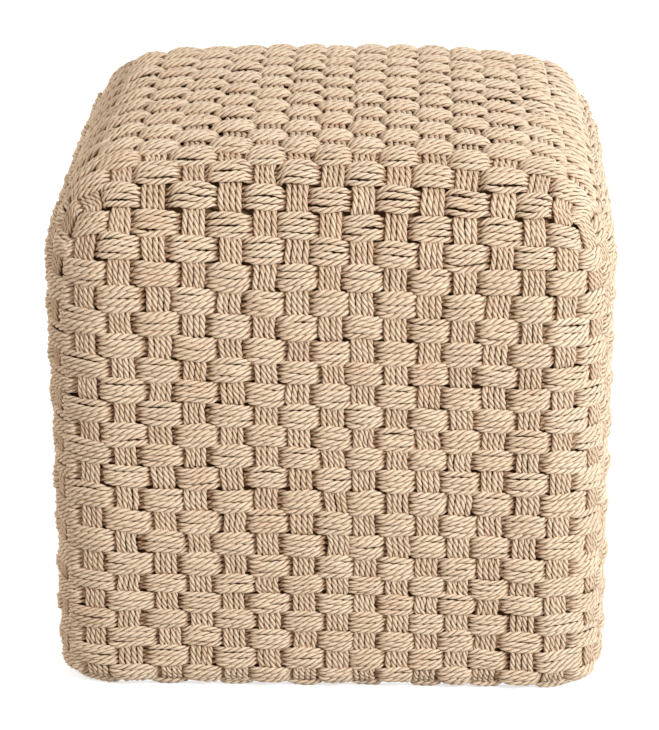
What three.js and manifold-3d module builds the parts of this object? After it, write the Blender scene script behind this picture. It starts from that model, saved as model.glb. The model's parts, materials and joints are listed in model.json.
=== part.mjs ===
// Woven cord pouf for a porch or patio, in millimetres, +Z up, front towards -Y.
// The origin is on the floor under the middle of the pouf.
// From the outside in: a basketweave cord cover turned under at the floor, its lining, a base of two
// canvas halves with felt and a zip, an inner liner, a stiff base board, wadding, three firm foam
// slabs and a soft domed pad that gives the top its crown.

import * as THREE from "three";
import * as BufferGeometryUtils from "three/addons/utils/BufferGeometryUtils.js";
import Module from "manifold-3d";

const manifoldLibrary = await Module();
manifoldLibrary.setup();

// Outside size and form
const width = 457;
const depth = 457;
const shoulderHeight = 427;
const crownRise = 30;
const topEdgeRadius = 78;
const cornerRadius = 62;
const footCornerRadius = 74;
const floorEdgeRadius = 18;
const footDrawIn = 5.5;

// Clearance between pieces that lie on each other
const fitGap = 0.3;

// Sheets and layers
const weaveThickness = 10;
const hemWidth = 46;
const liningThickness = 1;
const liningFlange = 20;
const bindingThickness = 1.2;
const bindingOverhang = 6;
const canvasThickness = 1.2;
const linerThickness = 0.8;
const linerFootRadius = 4;
const linerFlange = 11;
const boardThickness = 4;
const waddingThickness = 12;
const slabCount = 3;

// Zip
const zipEndMargin = 36;
const tapeThickness = 0.6;
const tapeReach = 15;
const tapeTail = 14;
const chainHeight = 2.4;
const toothPitch = 5;
const toothLength = 1.3;
const chainSpine = 0.9;
const stopLength = 3;
const sliderLength = 14;
const wingHalf = 5.6;
const wingThickness = 1.1;
const wingLip = 1.2;
const webHalf = 0.4;
const slotClearance = 0.9;
const sliderHeadroom = 0.4;
const sliderPark = 1;
const tabThickness = 0.8;
const tabOverlap = 14;
const tabMargin = 5;

// Pull of the zip and the bridge on the slider that carries it
const bridgeHalf = 1;
const bridgeWindow = 4.2;
const bridgeLeg = 1.3;
const bridgeDrop = 2.4;
const bridgeBar = 1.2;
const bridgeRoot = 0.6;
const pullThickness = 1.2;
const pullBar = 1.4;
const pullEye = 5.8;
const pullArm = 2;
const pullArmClearance = 0.4;
const pullLength = 27;
const pullTipRadius = 4;
const pullHoleRadius = 1.6;

// Drain eyelets in the base and the holes above them
const eyeletOffset = 105;
const eyeletBore = 4.2;
const eyeletWall = 1.5;
const eyeletFlange = 9;
const eyeletFlangeThickness = 0.8;
const drainHoleRadius = 5;

// Main forms of the basketweave: where two bundles cross, one stands proud or both lie deeper. The places are
// shares of the run from a side's middle to its corner, and of the run from the foot up to the top edge's middle
const weaveRelief = 5;
const frontLoopShares = [-0.93, -0.77, -0.631, -0.5, -0.364, -0.236, -0.11, 0.016, 0.128, 0.255, 0.374, 0.495,
  0.622, 0.752, 0.887];
const sideLoopShares = [-0.992, -0.913, -0.842, -0.785, -0.71, -0.63, -0.549, -0.468, -0.385, -0.3, -0.213, -0.125,
  -0.034, 0.058, 0.148, 0.237, 0.327, 0.417, 0.507, 0.601, 0.693, 0.785, 0.875, 0.96];
const beltShares = [-0.02, 0.024, 0.066, 0.106, 0.147, 0.187, 0.227, 0.274, 0.321, 0.369, 0.417, 0.462, 0.506,
  0.552, 0.599, 0.645, 0.691, 0.74, 0.79, 0.842, 0.894, 0.941];
const cutOverrun = 1;

// Fineness of the faceted forms
const arcSteps = 5;
const sideSteps = 3;
const footSteps = 2;
const topSteps = 5;
const curveSteps = 6;
const eyeletSteps = 12;
const crownPower = 3;
const topInsetShares = [0.25, 0.5, 0.75];
const toothWidthShare = 0.5;

// Levels of the base, from the floor up
const hemTop = weaveThickness;
const bindingFoot = hemTop + fitGap;
const canvasFoot = bindingFoot + bindingThickness + fitGap;
const canvasTop = canvasFoot + canvasThickness;
const tapeFoot = canvasTop + fitGap;
const tapeTop = tapeFoot + tapeThickness;
const chainFoot = (tapeFoot + tapeTop - chainHeight) / 2;
const chainTop = chainFoot + chainHeight;
const lowerWingTop = chainFoot - fitGap;
const lowerWingFoot = lowerWingTop - wingThickness;
const upperWingFoot = chainTop + fitGap;
const upperWingTop = upperWingFoot + wingThickness;
const feltTop = upperWingTop + sliderHeadroom;
const linerFoot = feltTop + fitGap;
const boardFoot = linerFoot + linerThickness + fitGap;
const boardTop = boardFoot + boardThickness;
const coreFoot = boardTop + fitGap;
const coreTop = shoulderHeight - topEdgeRadius;

// Insets of the layers from the outer face
const liningInset = weaveThickness + fitGap;
const linerInset = liningInset + liningThickness + fitGap;
const waddingInset = linerInset + linerThickness + fitGap;
const coreInset = waddingInset + waddingThickness + fitGap;
const canvasInset = floorEdgeRadius + fitGap;
const liningFlangeInset = liningInset + liningFlange;
const linerFlangeInset = linerInset + linerFootRadius + linerFlange;
const bindingInnerInset = hemWidth + bindingOverhang;

// Places along and across the zip
const chainHalf = width / 2 - footDrawIn - hemWidth - zipEndMargin;
const slotHalfLength = chainHalf + fitGap + stopLength + fitGap;
const slotHalf = wingHalf + slotClearance;
const chainInner = webHalf + fitGap;
const chainOuter = chainInner + toothLength + chainSpine;
const tapeInner = chainOuter + fitGap;
const sliderX = chainHalf - sliderPark - sliderLength / 2;
const pullPivotLevel = lowerWingFoot - bridgeDrop / 2;

// Half sides and corner radius of the pouf at one inset and level
function ringSizes({ inset, level }) {
  const rise = Math.min(level / coreTop, 1);
  const drawIn = footDrawIn * (1 - rise);
  const left = 1 - (2 * inset) / Math.min(width, depth);
  return {
    halfX: width / 2 - drawIn - inset,
    halfY: depth / 2 - drawIn - inset,
    radius: THREE.MathUtils.lerp(footCornerRadius, cornerRadius, rise) * left,
  };
}

// Ring of points round the pouf at one inset and level, counter-clockwise seen from above
function ringPoints({ inset, level, crown = 0 }) {
  const { halfX, halfY, radius } = ringSizes({ inset, level });
  const corners = [[1, 1], [-1, 1], [-1, -1], [1, -1]];
  const plan = [];
  corners.forEach(([signX, signY], quarter) => {
    const centre = new THREE.Vector2(signX * (halfX - radius), signY * (halfY - radius));
    for (let step = 0; step <= arcSteps; step += 1) {
      const angle = (quarter + step / arcSteps) * Math.PI / 2;
      plan.push(new THREE.Vector2(Math.cos(angle), Math.sin(angle)).multiplyScalar(radius).add(centre));
    }
    const [nextX, nextY] = corners[(quarter + 1) % corners.length];
    const start = plan[plan.length - 1];
    const nextCentre = new THREE.Vector2(nextX * (halfX - radius), nextY * (halfY - radius));
    const nextAngle = (quarter + 1) * Math.PI / 2;
    const end = new THREE.Vector2(Math.cos(nextAngle), Math.sin(nextAngle)).multiplyScalar(radius);
    end.add(nextCentre);
    for (let step = 1; step < sideSteps; step += 1) {
      plan.push(start.clone().lerp(end, step / sideSteps));
    }
  });
  return plan.map((point) => new THREE.Vector3(point.x, point.y, level + crown * crownAt(point)));
}

// Rise of the crown over one point of the plan
function crownAt(point) {
  const acrossShare = Math.min(Math.abs(point.x) / (width / 2), 1);
  const alongShare = Math.min(Math.abs(point.y) / (depth / 2), 1);
  return crownRise * (1 - acrossShare ** crownPower) * (1 - alongShare ** crownPower);
}

// Closed body through stations: rings and poles on the axis, outside upwards
function bodyOfStations(stations, joinEnds = false) {
  const positions = [];
  const rows = stations.map((station) => {
    const points = station.pole
      ? [new THREE.Vector3(0, 0, station.level + (station.crown ?? 0) * crownRise)]
      : ringPoints(station);
    const first = positions.length / 3;
    points.forEach((point) => positions.push(point.x, point.y, point.z));
    return { first, count: points.length, inside: station.inside };
  });
  const index = [];
  const joins = joinEnds ? rows.length : rows.length - 1;
  for (let row = 0; row < joins; row += 1) {
    stitch(index, rows[row], rows[(row + 1) % rows.length]);
  }
  const geometry = new THREE.BufferGeometry();
  geometry.setAttribute("position", new THREE.Float32BufferAttribute(positions, 3));
  geometry.setIndex(index);
  return geometry;
}

// Faces between two rows of points, where a row of one point is a pole. Layers that lie on each
// other need like diagonals, so the inside faces, which run the other way, take the other one.
function stitch(index, from, to) {
  const count = Math.max(from.count, to.count);
  const turned = from.inside && to.inside;
  const at = (row, step) => row.first + (row.count > 1 ? step % count : 0);
  for (let step = 0; step < count; step += 1) {
    const next = step + 1;
    if (from.count > 1) {
      index.push(at(from, step), at(from, next), at(to, turned ? step : next));
    }
    if (to.count > 1) {
      index.push(at(from, turned ? next : step), at(to, next), at(to, step));
    }
  }
}

// Face on the inside of a shell: the same stations the other way round
function insideFace(stations) {
  return stations.map((station) => ({ ...station, inside: true })).reverse();
}

// Stations of the rounded edge at the floor, from the flat underside up to the wall
function footStations(inset, level, radius) {
  const stations = [];
  for (let step = 0; step <= footSteps; step += 1) {
    const angle = (step / footSteps) * Math.PI / 2;
    stations.push({
      inset: inset + radius * (1 - Math.sin(angle)),
      level: level + radius * (1 - Math.cos(angle)),
    });
  }
  return stations;
}

// Stations of the rounded top edge and the crowned top, up to the pole
function topStations(inset) {
  const radius = topEdgeRadius - inset;
  const stations = [];
  for (let step = 0; step <= topSteps; step += 1) {
    const angle = (step / topSteps) * Math.PI / 2;
    stations.push({
      inset: topEdgeRadius - radius * Math.cos(angle),
      level: coreTop + radius * Math.sin(angle),
      crown: Math.sin(angle) ** 2,
    });
  }
  const middle = Math.min(width, depth) / 2;
  const level = shoulderHeight - inset;
  topInsetShares.forEach((share) => {
    stations.push({ inset: THREE.MathUtils.lerp(topEdgeRadius, middle, share), level, crown: 1 });
  });
  stations.push({ pole: true, level, crown: 1 });
  return stations;
}

// Shell with walls and top, open at the floor, with a flange turned in along the floor
function turnedUnderShell({ inset, thickness, level, radius, flangeInset }) {
  const face = (offset) => [
    { inset: flangeInset, level: level + offset },
    ...footStations(inset + offset, level + offset, radius - offset),
    ...topStations(inset + offset),
  ];
  return bodyOfStations([...face(0), ...insideFace(face(thickness))], true);
}

// Outline of the pouf at one inset and level, as a flat shape
function outlineShape(inset, level) {
  const points = ringPoints({ inset, level }).map((point) => new THREE.Vector2(point.x, point.y));
  return new THREE.Shape(points);
}

// One half of that outline in front of or behind the zip, with a notch along the zip
function halfShape(side, inset, level, edge, notchHalfLength, notchEdge) {
  const ring = ringPoints({ inset, level });
  const reach = Math.max(...ring.map((point) => point.x));
  const half = ring.filter((point) => point.y * side > 0);
  const first = half.findIndex((point, place) => {
    const before = half[(place + half.length - 1) % half.length];
    return Math.abs(point.x - before.x) > reach;
  });
  const ordered = [...half.slice(first), ...half.slice(0, first)];
  const start = Math.sign(ordered[0].x);
  const points = [new THREE.Vector2(start * reach, side * edge)];
  ordered.forEach((point) => points.push(new THREE.Vector2(point.x, point.y)));
  points.push(new THREE.Vector2(-start * reach, side * edge));
  points.push(new THREE.Vector2(-start * notchHalfLength, side * edge));
  points.push(new THREE.Vector2(-start * notchHalfLength, side * notchEdge));
  points.push(new THREE.Vector2(start * notchHalfLength, side * notchEdge));
  points.push(new THREE.Vector2(start * notchHalfLength, side * edge));
  return new THREE.Shape(points);
}

function addHole(shape, x, y, radius) {
  const hole = new THREE.Path();
  hole.absarc(x, y, radius, 0, 2 * Math.PI, true);
  shape.holes.push(hole);
}

function addDrainHoles(shape, radius, sidesY) {
  sidesY.forEach((sideY) => {
    [-1, 1].forEach((sideX) => addHole(shape, sideX * eyeletOffset, sideY * eyeletOffset, radius));
  });
}

function rectangle(x0, y0, x1, y1) {
  const points = [[x0, y0], [x1, y0], [x1, y1], [x0, y1]];
  return new THREE.Shape(points.map(([x, y]) => new THREE.Vector2(x, y)));
}

// Sheet or plate lying flat, from its shape, foot level and thickness
function plate(shape, foot, thickness) {
  const settings = { depth: thickness, bevelEnabled: false, curveSegments: curveSteps };
  return new THREE.ExtrudeGeometry(shape, settings).translate(0, 0, foot);
}

// Bar along X from a section drawn in Y and Z
function barAlongX(section, x0, length) {
  const geometry = new THREE.ExtrudeGeometry(section, { depth: length, bevelEnabled: false });
  const axes = new THREE.Matrix4().makeBasis(
    new THREE.Vector3(0, 1, 0),
    new THREE.Vector3(0, 0, 1),
    new THREE.Vector3(1, 0, 0),
  );
  return geometry.applyMatrix4(axes).translate(x0, 0, 0);
}

// Plate standing in X and Z, centred on Y, from its section and full thickness
function standingPlate(section, thickness) {
  const geometry = new THREE.ExtrudeGeometry(section, { depth: thickness, bevelEnabled: false });
  return geometry.rotateX(Math.PI / 2).translate(0, thickness / 2, 0);
}

function toManifold(geometry) {
  const bare = geometry.clone();
  bare.deleteAttribute("normal");
  bare.deleteAttribute("uv");
  const merged = BufferGeometryUtils.mergeVertices(bare);
  const vertProperties = new Float32Array(merged.attributes.position.array);
  const triVerts = new Uint32Array(merged.index.array);
  return new manifoldLibrary.Manifold(new manifoldLibrary.Mesh({ numProp: 3, vertProperties, triVerts }));
}

function fromManifold(solid) {
  const mesh = solid.getMesh();
  const geometry = new THREE.BufferGeometry();
  geometry.setAttribute("position", new THREE.Float32BufferAttribute(mesh.vertProperties, 3));
  geometry.setIndex(Array.from(mesh.triVerts));
  return geometry;
}

function joined(first, second) {
  return fromManifold(toManifold(first).add(toManifold(second)));
}

function cut(body, tool) {
  return fromManifold(toManifold(body).subtract(toManifold(tool)));
}

// A share of a half side that ends in a rounded corner: how far its straight part reaches and the angle turned
function turnAt(share, half, radius) {
  const straight = half - radius;
  const run = Math.abs(share) * (straight + radius * Math.PI / 4);
  return { reach: Math.sign(share) * Math.min(run, straight), angle: Math.max(run - straight, 0) / radius };
}

// Point of the walls at a share of one side, from its first corner to its last, side 0 being the front
function wallPoint(side, share, station) {
  const { halfX, halfY, radius } = ringSizes(station);
  const [half, out] = side % 2 ? [halfY, halfX] : [halfX, halfY];
  const { reach, angle } = turnAt(share, half, radius);
  const along = reach + Math.sign(share) * radius * Math.sin(angle);
  const away = out - radius + radius * Math.cos(angle);
  const turn = side * Math.PI / 2;
  const x = along * Math.cos(turn) + away * Math.sin(turn);
  const y = along * Math.sin(turn) - away * Math.cos(turn);
  const crown = station.crown * crownAt(new THREE.Vector2(x, y));
  return new THREE.Vector3(x, y, station.level + crown);
}

// Station of the profile from the foot to the middle of the top edge, sunk below the outer face
function profileStation(share, sunk) {
  const wall = coreTop - floorEdgeRadius;
  const run = share * (wall + topEdgeRadius * Math.PI / 4);
  const angle = run < 0 ? -run / floorEdgeRadius : Math.max(run - wall, 0) / topEdgeRadius;
  const edge = run < 0 ? floorEdgeRadius : topEdgeRadius;
  const inset = edge - (edge - sunk) * Math.cos(angle);
  if (run < 0) {
    return { inset, level: floorEdgeRadius - (edge - sunk) * Math.sin(angle), crown: 0 };
  }
  const level = floorEdgeRadius + Math.min(run, wall) + (edge - sunk) * Math.sin(angle);
  return { inset, level, crown: Math.sin(angle) ** 2 };
}

// Point of the top at shares across and along it, sunk below the outer face
function topPoint(acrossShare, alongShare, sunk) {
  const across = turnAt(acrossShare, width / 2, topEdgeRadius);
  const along = turnAt(alongShare, depth / 2, topEdgeRadius);
  const slantX = Math.sign(acrossShare) * Math.tan(across.angle);
  const slantY = Math.sign(alongShare) * Math.tan(along.angle);
  const out = new THREE.Vector3(slantX, slantY, 1).normalize();
  const point = new THREE.Vector3(across.reach, along.reach, coreTop);
  point.addScaledVector(out, topEdgeRadius - sunk);
  point.z += crownAt(point) * out.z ** 2;
  return point;
}

// Shares of the loops round the four sides, counter-clockwise from the front left corner. The side loops
// lie evenly on the walls
function sharesRound() {
  const even = sideLoopShares.map((share, order) => (2 * order + 1) / sideLoopShares.length - 1);
  const mirrored = (shares) => shares.map((share) => -share).reverse();
  return [frontLoopShares, even, mirrored(frontLoopShares), mirrored(even)];
}

// Outer face of the weave as a closed body: belts of points up the walls and a field of points on the top,
// each where a bundle crosses another
function wovenBody() {
  const positions = [];
  const index = [];
  const add = (point) => positions.push(point.x, point.y, point.z) / 3 - 1;
  const sides = sharesRound();
  const ring = (stationAt) => {
    const points = [];
    sides.forEach((shares, side) => {
      shares.forEach((share) => points.push(add(wallPoint(side, share, stationAt(points.length)))));
    });
    return points;
  };
  const floor = ring(() => ({ inset: floorEdgeRadius, level: 0, crown: 0 }));
  const belts = beltShares.map((share, order) => {
    const belt = beltShares.length - 1 - order;
    return ring((place) => profileStation(share, (belt + place) % 2 ? weaveRelief : 0));
  });
  const field = frontLoopShares.map((acrossShare, loop) => sideLoopShares.map((alongShare, order) => (
    add(topPoint(acrossShare, alongShare, (loop + order) % 2 ? 0 : weaveRelief))
  )));
  const last = field.length - 1;
  const rim = [
    ...field.map((row) => row[0]),
    ...field[last],
    ...field.map((row) => row[row.length - 1]).reverse(),
    ...[...field[0]].reverse(),
  ];
  const middle = add(new THREE.Vector3());
  floor.forEach((point, place) => index.push(middle, floor[(place + 1) % floor.length], point));
  [floor, ...belts].forEach((row, order) => {
    const above = belts[order] ?? rim;
    row.forEach((point, place) => {
      const next = (place + 1) % row.length;
      const belt = beltShares.length - order;
      addQuad(index, [point, row[next], above[next], above[place]], (belt + place) % 2 === 0);
    });
  });
  for (let loop = 0; loop < last; loop += 1) {
    for (let order = 0; order < field[loop].length - 1; order += 1) {
      const corners = [
        field[loop][order], field[loop + 1][order], field[loop + 1][order + 1], field[loop][order + 1],
      ];
      addQuad(index, corners, (loop + order) % 2 !== 0);
    }
  }
  const geometry = new THREE.BufferGeometry();
  geometry.setAttribute("position", new THREE.Float32BufferAttribute(positions, 3));
  geometry.setIndex(index);
  return geometry;
}

// Two faces on four corners, split between the second and the last where the first stands proud. Where two
// corners are one point, only the other face is added
function addQuad(index, [first, second, third, fourth], firstProud) {
  if (third === fourth) {
    index.push(first, second, third);
  } else if (firstProud) {
    index.push(first, second, fourth, second, third, fourth);
  } else {
    index.push(first, second, third, first, third, fourth);
  }
}

// Woven cover and its lining. The space inside the cover follows the lining's stations
function wovenCover() {
  const space = bodyOfStations([
    { pole: true, level: -cutOverrun },
    { inset: hemWidth, level: -cutOverrun },
    { inset: hemWidth, level: weaveThickness },
    ...footStations(weaveThickness, weaveThickness, floorEdgeRadius - weaveThickness),
    ...topStations(weaveThickness),
  ]);
  return cut(wovenBody(), space);
}

function coverLining() {
  return turnedUnderShell({
    inset: liningInset,
    thickness: liningThickness,
    level: liningInset,
    radius: floorEdgeRadius - liningInset,
    flangeInset: liningFlangeInset,
  });
}

// Tape over the cut ends of the cords, on the hem
function hemBinding() {
  const shape = outlineShape(liningFlangeInset + fitGap, bindingFoot);
  const inner = outlineShape(bindingInnerInset, bindingFoot).getPoints();
  shape.holes.push(new THREE.Path(inner.reverse()));
  return plate(shape, bindingFoot, bindingThickness);
}

// Base halves
function baseCanvas(side) {
  const shape = halfShape(side, canvasInset, canvasFoot, fitGap / 2, slotHalfLength, slotHalf);
  addDrainHoles(shape, eyeletBore + eyeletWall + fitGap, [side]);
  return plate(shape, canvasFoot, canvasThickness);
}

function baseFelt(side) {
  const edge = tapeReach + fitGap;
  const shape = halfShape(side, canvasInset, tapeFoot, edge, slotHalfLength, edge + fitGap);
  addDrainHoles(shape, eyeletFlange + fitGap, [side]);
  return plate(shape, tapeFoot, feltTop - tapeFoot);
}

function drainEyelet() {
  const lowerFoot = canvasFoot - fitGap - eyeletFlangeThickness;
  const lowerTop = canvasFoot - fitGap;
  const upperFoot = canvasTop + fitGap;
  const upperTop = upperFoot + eyeletFlangeThickness;
  const barrel = eyeletBore + eyeletWall;
  const profile = [
    [eyeletBore, lowerFoot],
    [eyeletFlange, lowerFoot],
    [eyeletFlange, lowerTop],
    [barrel, lowerTop],
    [barrel, upperFoot],
    [eyeletFlange, upperFoot],
    [eyeletFlange, upperTop],
    [eyeletBore, upperTop],
    [eyeletBore, lowerFoot],
  ].map(([radius, level]) => new THREE.Vector2(radius, level));
  return new THREE.LatheGeometry(profile, eyeletSteps).rotateX(Math.PI / 2);
}

// Zip pieces
function zipTape(side) {
  const reach = slotHalfLength + tapeTail;
  const [near, far] = [side * tapeInner, side * tapeReach];
  return plate(rectangle(-reach, Math.min(near, far), reach, Math.max(near, far)), tapeFoot, tapeThickness);
}

function zipChain(side) {
  const root = side * (chainInner + toothLength);
  const tip = side * chainInner;
  const back = side * chainOuter;
  const toothWidth = toothPitch * toothWidthShare;
  const shift = side > 0 ? toothPitch - toothWidth : 0;
  const teeth = Math.floor((2 * chainHalf - toothPitch) / toothPitch);
  const start = -chainHalf;
  const points = [new THREE.Vector2(start, back), new THREE.Vector2(start, root)];
  for (let tooth = 0; tooth < teeth; tooth += 1) {
    const near = start + shift + toothWidth + tooth * toothPitch;
    points.push(new THREE.Vector2(near, root));
    points.push(new THREE.Vector2(near, tip));
    points.push(new THREE.Vector2(near + toothWidth, tip));
    points.push(new THREE.Vector2(near + toothWidth, root));
  }
  points.push(new THREE.Vector2(chainHalf, root), new THREE.Vector2(chainHalf, back));
  return plate(new THREE.Shape(points), chainFoot, chainHeight);
}

function zipTopStop(side) {
  const [near, far] = [side * chainInner, side * chainOuter];
  const x = chainHalf + fitGap;
  return plate(rectangle(x, Math.min(near, far), x + stopLength, Math.max(near, far)), chainFoot, chainHeight);
}

function zipBottomStop() {
  const x = -chainHalf - fitGap - stopLength;
  return plate(rectangle(x, -chainOuter, x + stopLength, chainOuter), chainFoot, chainHeight);
}

function zipEndTab(side) {
  const near = side * (slotHalfLength - stopLength);
  const far = side * (slotHalfLength + tabOverlap);
  const half = slotHalf + tabMargin;
  const foot = canvasFoot - fitGap - tabThickness;
  return plate(rectangle(Math.min(near, far), -half, Math.max(near, far), half), foot, tabThickness);
}

// Half section of the slider, mirrored to the other side of its web
function sliderSection() {
  const lip = wingHalf - wingLip;
  const side = [
    [webHalf, lowerWingTop],
    [lip, lowerWingTop],
    [lip, tapeFoot - fitGap],
    [wingHalf, tapeFoot - fitGap],
    [wingHalf, lowerWingFoot],
  ];
  const upper = [
    [wingHalf, upperWingTop],
    [wingHalf, tapeTop + fitGap],
    [lip, tapeTop + fitGap],
    [lip, upperWingFoot],
    [webHalf, upperWingFoot],
  ];
  const right = [...upper, ...side];
  const left = right.map(([y, z]) => [-y, z]).reverse();
  return new THREE.Shape([...right, ...left].map(([y, z]) => new THREE.Vector2(y, z)));
}

function zipSlider() {
  const body = barAlongX(sliderSection(), sliderX - sliderLength / 2, sliderLength);
  const inner = bridgeWindow / 2;
  const outer = inner + bridgeLeg;
  const root = lowerWingFoot + bridgeRoot;
  const window = lowerWingFoot - bridgeDrop;
  const foot = window - bridgeBar;
  const section = [
    [-outer, root], [-outer, foot], [outer, foot], [outer, root],
    [inner, root], [inner, window], [-inner, window], [-inner, root],
  ].map(([x, z]) => new THREE.Vector2(sliderX + x, z));
  return joined(body, standingPlate(new THREE.Shape(section), 2 * bridgeHalf));
}

// Flat tab whose end bar lies in the slider's bridge
function zipPull() {
  const armInner = bridgeHalf + pullArmClearance;
  const half = armInner + pullArm;
  const bar = pullBar / 2;
  const tip = -(pullLength - pullTipRadius);
  const shape = new THREE.Shape();
  shape.moveTo(sliderX + bar, -half);
  shape.lineTo(sliderX + bar, half);
  shape.lineTo(sliderX - bar - pullEye, half);
  shape.lineTo(sliderX + tip, pullTipRadius);
  shape.absarc(sliderX + tip, 0, pullTipRadius, Math.PI / 2, 3 * Math.PI / 2, false);
  shape.lineTo(sliderX - bar - pullEye, -half);
  const eye = [[-bar, -armInner], [-bar, armInner], [-bar - pullEye, armInner], [-bar - pullEye, -armInner]];
  shape.holes.push(new THREE.Path(eye.map(([x, y]) => new THREE.Vector2(sliderX + x, y))));
  addHole(shape, sliderX + tip, 0, pullHoleRadius);
  return plate(shape, pullPivotLevel - pullThickness / 2, pullThickness);
}

// Inner liner, its base panel and the board on it
function innerLiner() {
  return turnedUnderShell({
    inset: linerInset,
    thickness: linerThickness,
    level: linerFoot,
    radius: linerFootRadius,
    flangeInset: linerFlangeInset,
  });
}

function linerBasePanel() {
  const shape = outlineShape(linerFlangeInset + fitGap, linerFoot);
  addDrainHoles(shape, drainHoleRadius, [-1, 1]);
  return plate(shape, linerFoot, linerThickness);
}

function baseBoard() {
  const shape = outlineShape(linerInset + linerFootRadius + fitGap, boardFoot);
  addDrainHoles(shape, drainHoleRadius, [-1, 1]);
  return plate(shape, boardFoot, boardThickness);
}

// Filling
function coreSlab(place) {
  const thickness = (coreTop - coreFoot) / slabCount - fitGap;
  const foot = coreFoot + place * (thickness + fitGap);
  return bodyOfStations([
    { pole: true, level: foot },
    { inset: coreInset, level: foot },
    { inset: coreInset, level: foot + thickness },
    { pole: true, level: foot + thickness },
  ]);
}

function crownPad() {
  return bodyOfStations([{ pole: true, level: coreTop }, ...topStations(coreInset)]);
}

function waddingWrap() {
  const top = coreTop - fitGap;
  const inner = waddingInset + waddingThickness;
  return bodyOfStations([
    { inset: waddingInset, level: coreFoot },
    { inset: waddingInset, level: top },
    { inset: inner, level: top },
    { inset: inner, level: coreFoot },
  ], true);
}

function waddingTop() {
  const inner = waddingInset + waddingThickness;
  return bodyOfStations([...topStations(waddingInset), ...insideFace(topStations(inner))], true);
}

// Finishes
function finish(color, roughness, metalness = 0) {
  return () => new THREE.MeshStandardMaterial({ color, roughness, metalness });
}

const cord = finish(0xcdb497, 0.9);
const liningCloth = finish(0x8c7253, 0.95);
const bindingCloth = finish(0xb59a78, 0.9);
const canvasCloth = finish(0xa48c6c, 0.85);
const felt = finish(0x6f665a, 1);
const tapeCloth = finish(0x9c8566, 0.85);
const toothPlastic = finish(0x8a7558, 0.45);
const zinc = finish(0x9a8f80, 0.35, 0.9);
const linerCloth = finish(0xe6e3dc, 0.8);
const boardPlastic = finish(0x55524c, 0.5);
const firmFoam = finish(0xd8d4c8, 1);
const softFoam = finish(0xe9e5d6, 1);
const wadding = finish(0xf2f0ea, 1);

const pouf = new THREE.Group();

function place(name, geometry, material, x = 0, y = 0) {
  const mesh = new THREE.Mesh(geometry, material());
  mesh.name = name;
  mesh.position.set(x, y, 0);
  pouf.add(mesh);
}

place("woven_cover", wovenCover(), cord);
place("cover_lining", coverLining(), liningCloth);
place("hem_binding", hemBinding(), bindingCloth);
place("base_canvas_front", baseCanvas(-1), canvasCloth);
place("base_canvas_rear", baseCanvas(1), canvasCloth);
place("base_felt_front", baseFelt(-1), felt);
place("base_felt_rear", baseFelt(1), felt);

[[-1, -1], [1, -1], [-1, 1], [1, 1]].forEach(([sideX, sideY], order) => {
  place(`drain_eyelet_${order + 1}`, drainEyelet(), zinc, sideX * eyeletOffset, sideY * eyeletOffset);
});

place("zip_tape_front", zipTape(-1), tapeCloth);
place("zip_tape_rear", zipTape(1), tapeCloth);
place("zip_teeth_front", zipChain(-1), toothPlastic);
place("zip_teeth_rear", zipChain(1), toothPlastic);
place("zip_top_stop_front", zipTopStop(-1), toothPlastic);
place("zip_top_stop_rear", zipTopStop(1), toothPlastic);
place("zip_bottom_stop", zipBottomStop(), toothPlastic);
place("zip_end_tab_left", zipEndTab(-1), canvasCloth);
place("zip_end_tab_right", zipEndTab(1), canvasCloth);
place("zip_slider", zipSlider(), zinc);
place("zip_pull", zipPull(), zinc);

place("inner_liner", innerLiner(), linerCloth);
place("liner_base_panel", linerBasePanel(), linerCloth);
place("base_board", baseBoard(), boardPlastic);

for (let slab = 0; slab < slabCount; slab += 1) {
  place(`core_slab_${slab + 1}`, coreSlab(slab), firmFoam);
}

place("crown_pad", crownPad(), softFoam);
place("wadding_wrap", waddingWrap(), wadding);
place("wadding_top", waddingTop(), wadding);

export default pouf;
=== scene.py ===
"""Woven cord pouf: the looks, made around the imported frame.

The cover is woven from bundles of four plied cords in three sets. Belts go round the four walls. Front loops
climb the front, cross the top and go down the back. Side loops climb the left wall, cross the top and go down
the right wall. Shapes are worked out in millimetres and made in metres.
"""
import json
import math

import bpy
import numpy as np
from mathutils import Matrix, Vector
from mathutils.geometry import delaunay_2d_cdt


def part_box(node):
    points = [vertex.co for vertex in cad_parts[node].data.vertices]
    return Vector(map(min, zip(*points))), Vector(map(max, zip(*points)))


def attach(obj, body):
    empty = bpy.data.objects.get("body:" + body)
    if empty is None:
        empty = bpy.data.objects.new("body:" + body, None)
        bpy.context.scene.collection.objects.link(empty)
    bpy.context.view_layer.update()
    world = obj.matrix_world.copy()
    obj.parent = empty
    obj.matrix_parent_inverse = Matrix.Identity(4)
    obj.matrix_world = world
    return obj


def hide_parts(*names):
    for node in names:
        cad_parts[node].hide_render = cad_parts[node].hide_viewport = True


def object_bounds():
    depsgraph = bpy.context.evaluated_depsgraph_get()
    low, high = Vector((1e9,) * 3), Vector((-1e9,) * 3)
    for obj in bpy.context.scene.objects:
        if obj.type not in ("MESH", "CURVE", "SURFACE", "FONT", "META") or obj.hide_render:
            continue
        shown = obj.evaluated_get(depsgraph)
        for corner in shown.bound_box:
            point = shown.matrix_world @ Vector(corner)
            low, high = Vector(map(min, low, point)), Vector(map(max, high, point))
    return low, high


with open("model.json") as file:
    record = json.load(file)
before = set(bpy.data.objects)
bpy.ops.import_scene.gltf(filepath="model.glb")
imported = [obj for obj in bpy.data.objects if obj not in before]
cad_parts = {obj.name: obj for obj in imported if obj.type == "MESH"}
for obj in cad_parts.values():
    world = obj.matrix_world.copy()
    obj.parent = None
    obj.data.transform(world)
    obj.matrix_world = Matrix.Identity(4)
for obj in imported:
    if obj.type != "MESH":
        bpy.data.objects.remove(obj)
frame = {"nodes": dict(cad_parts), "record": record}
cad_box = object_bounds()

MM = 0.001
SEED = 41

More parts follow.
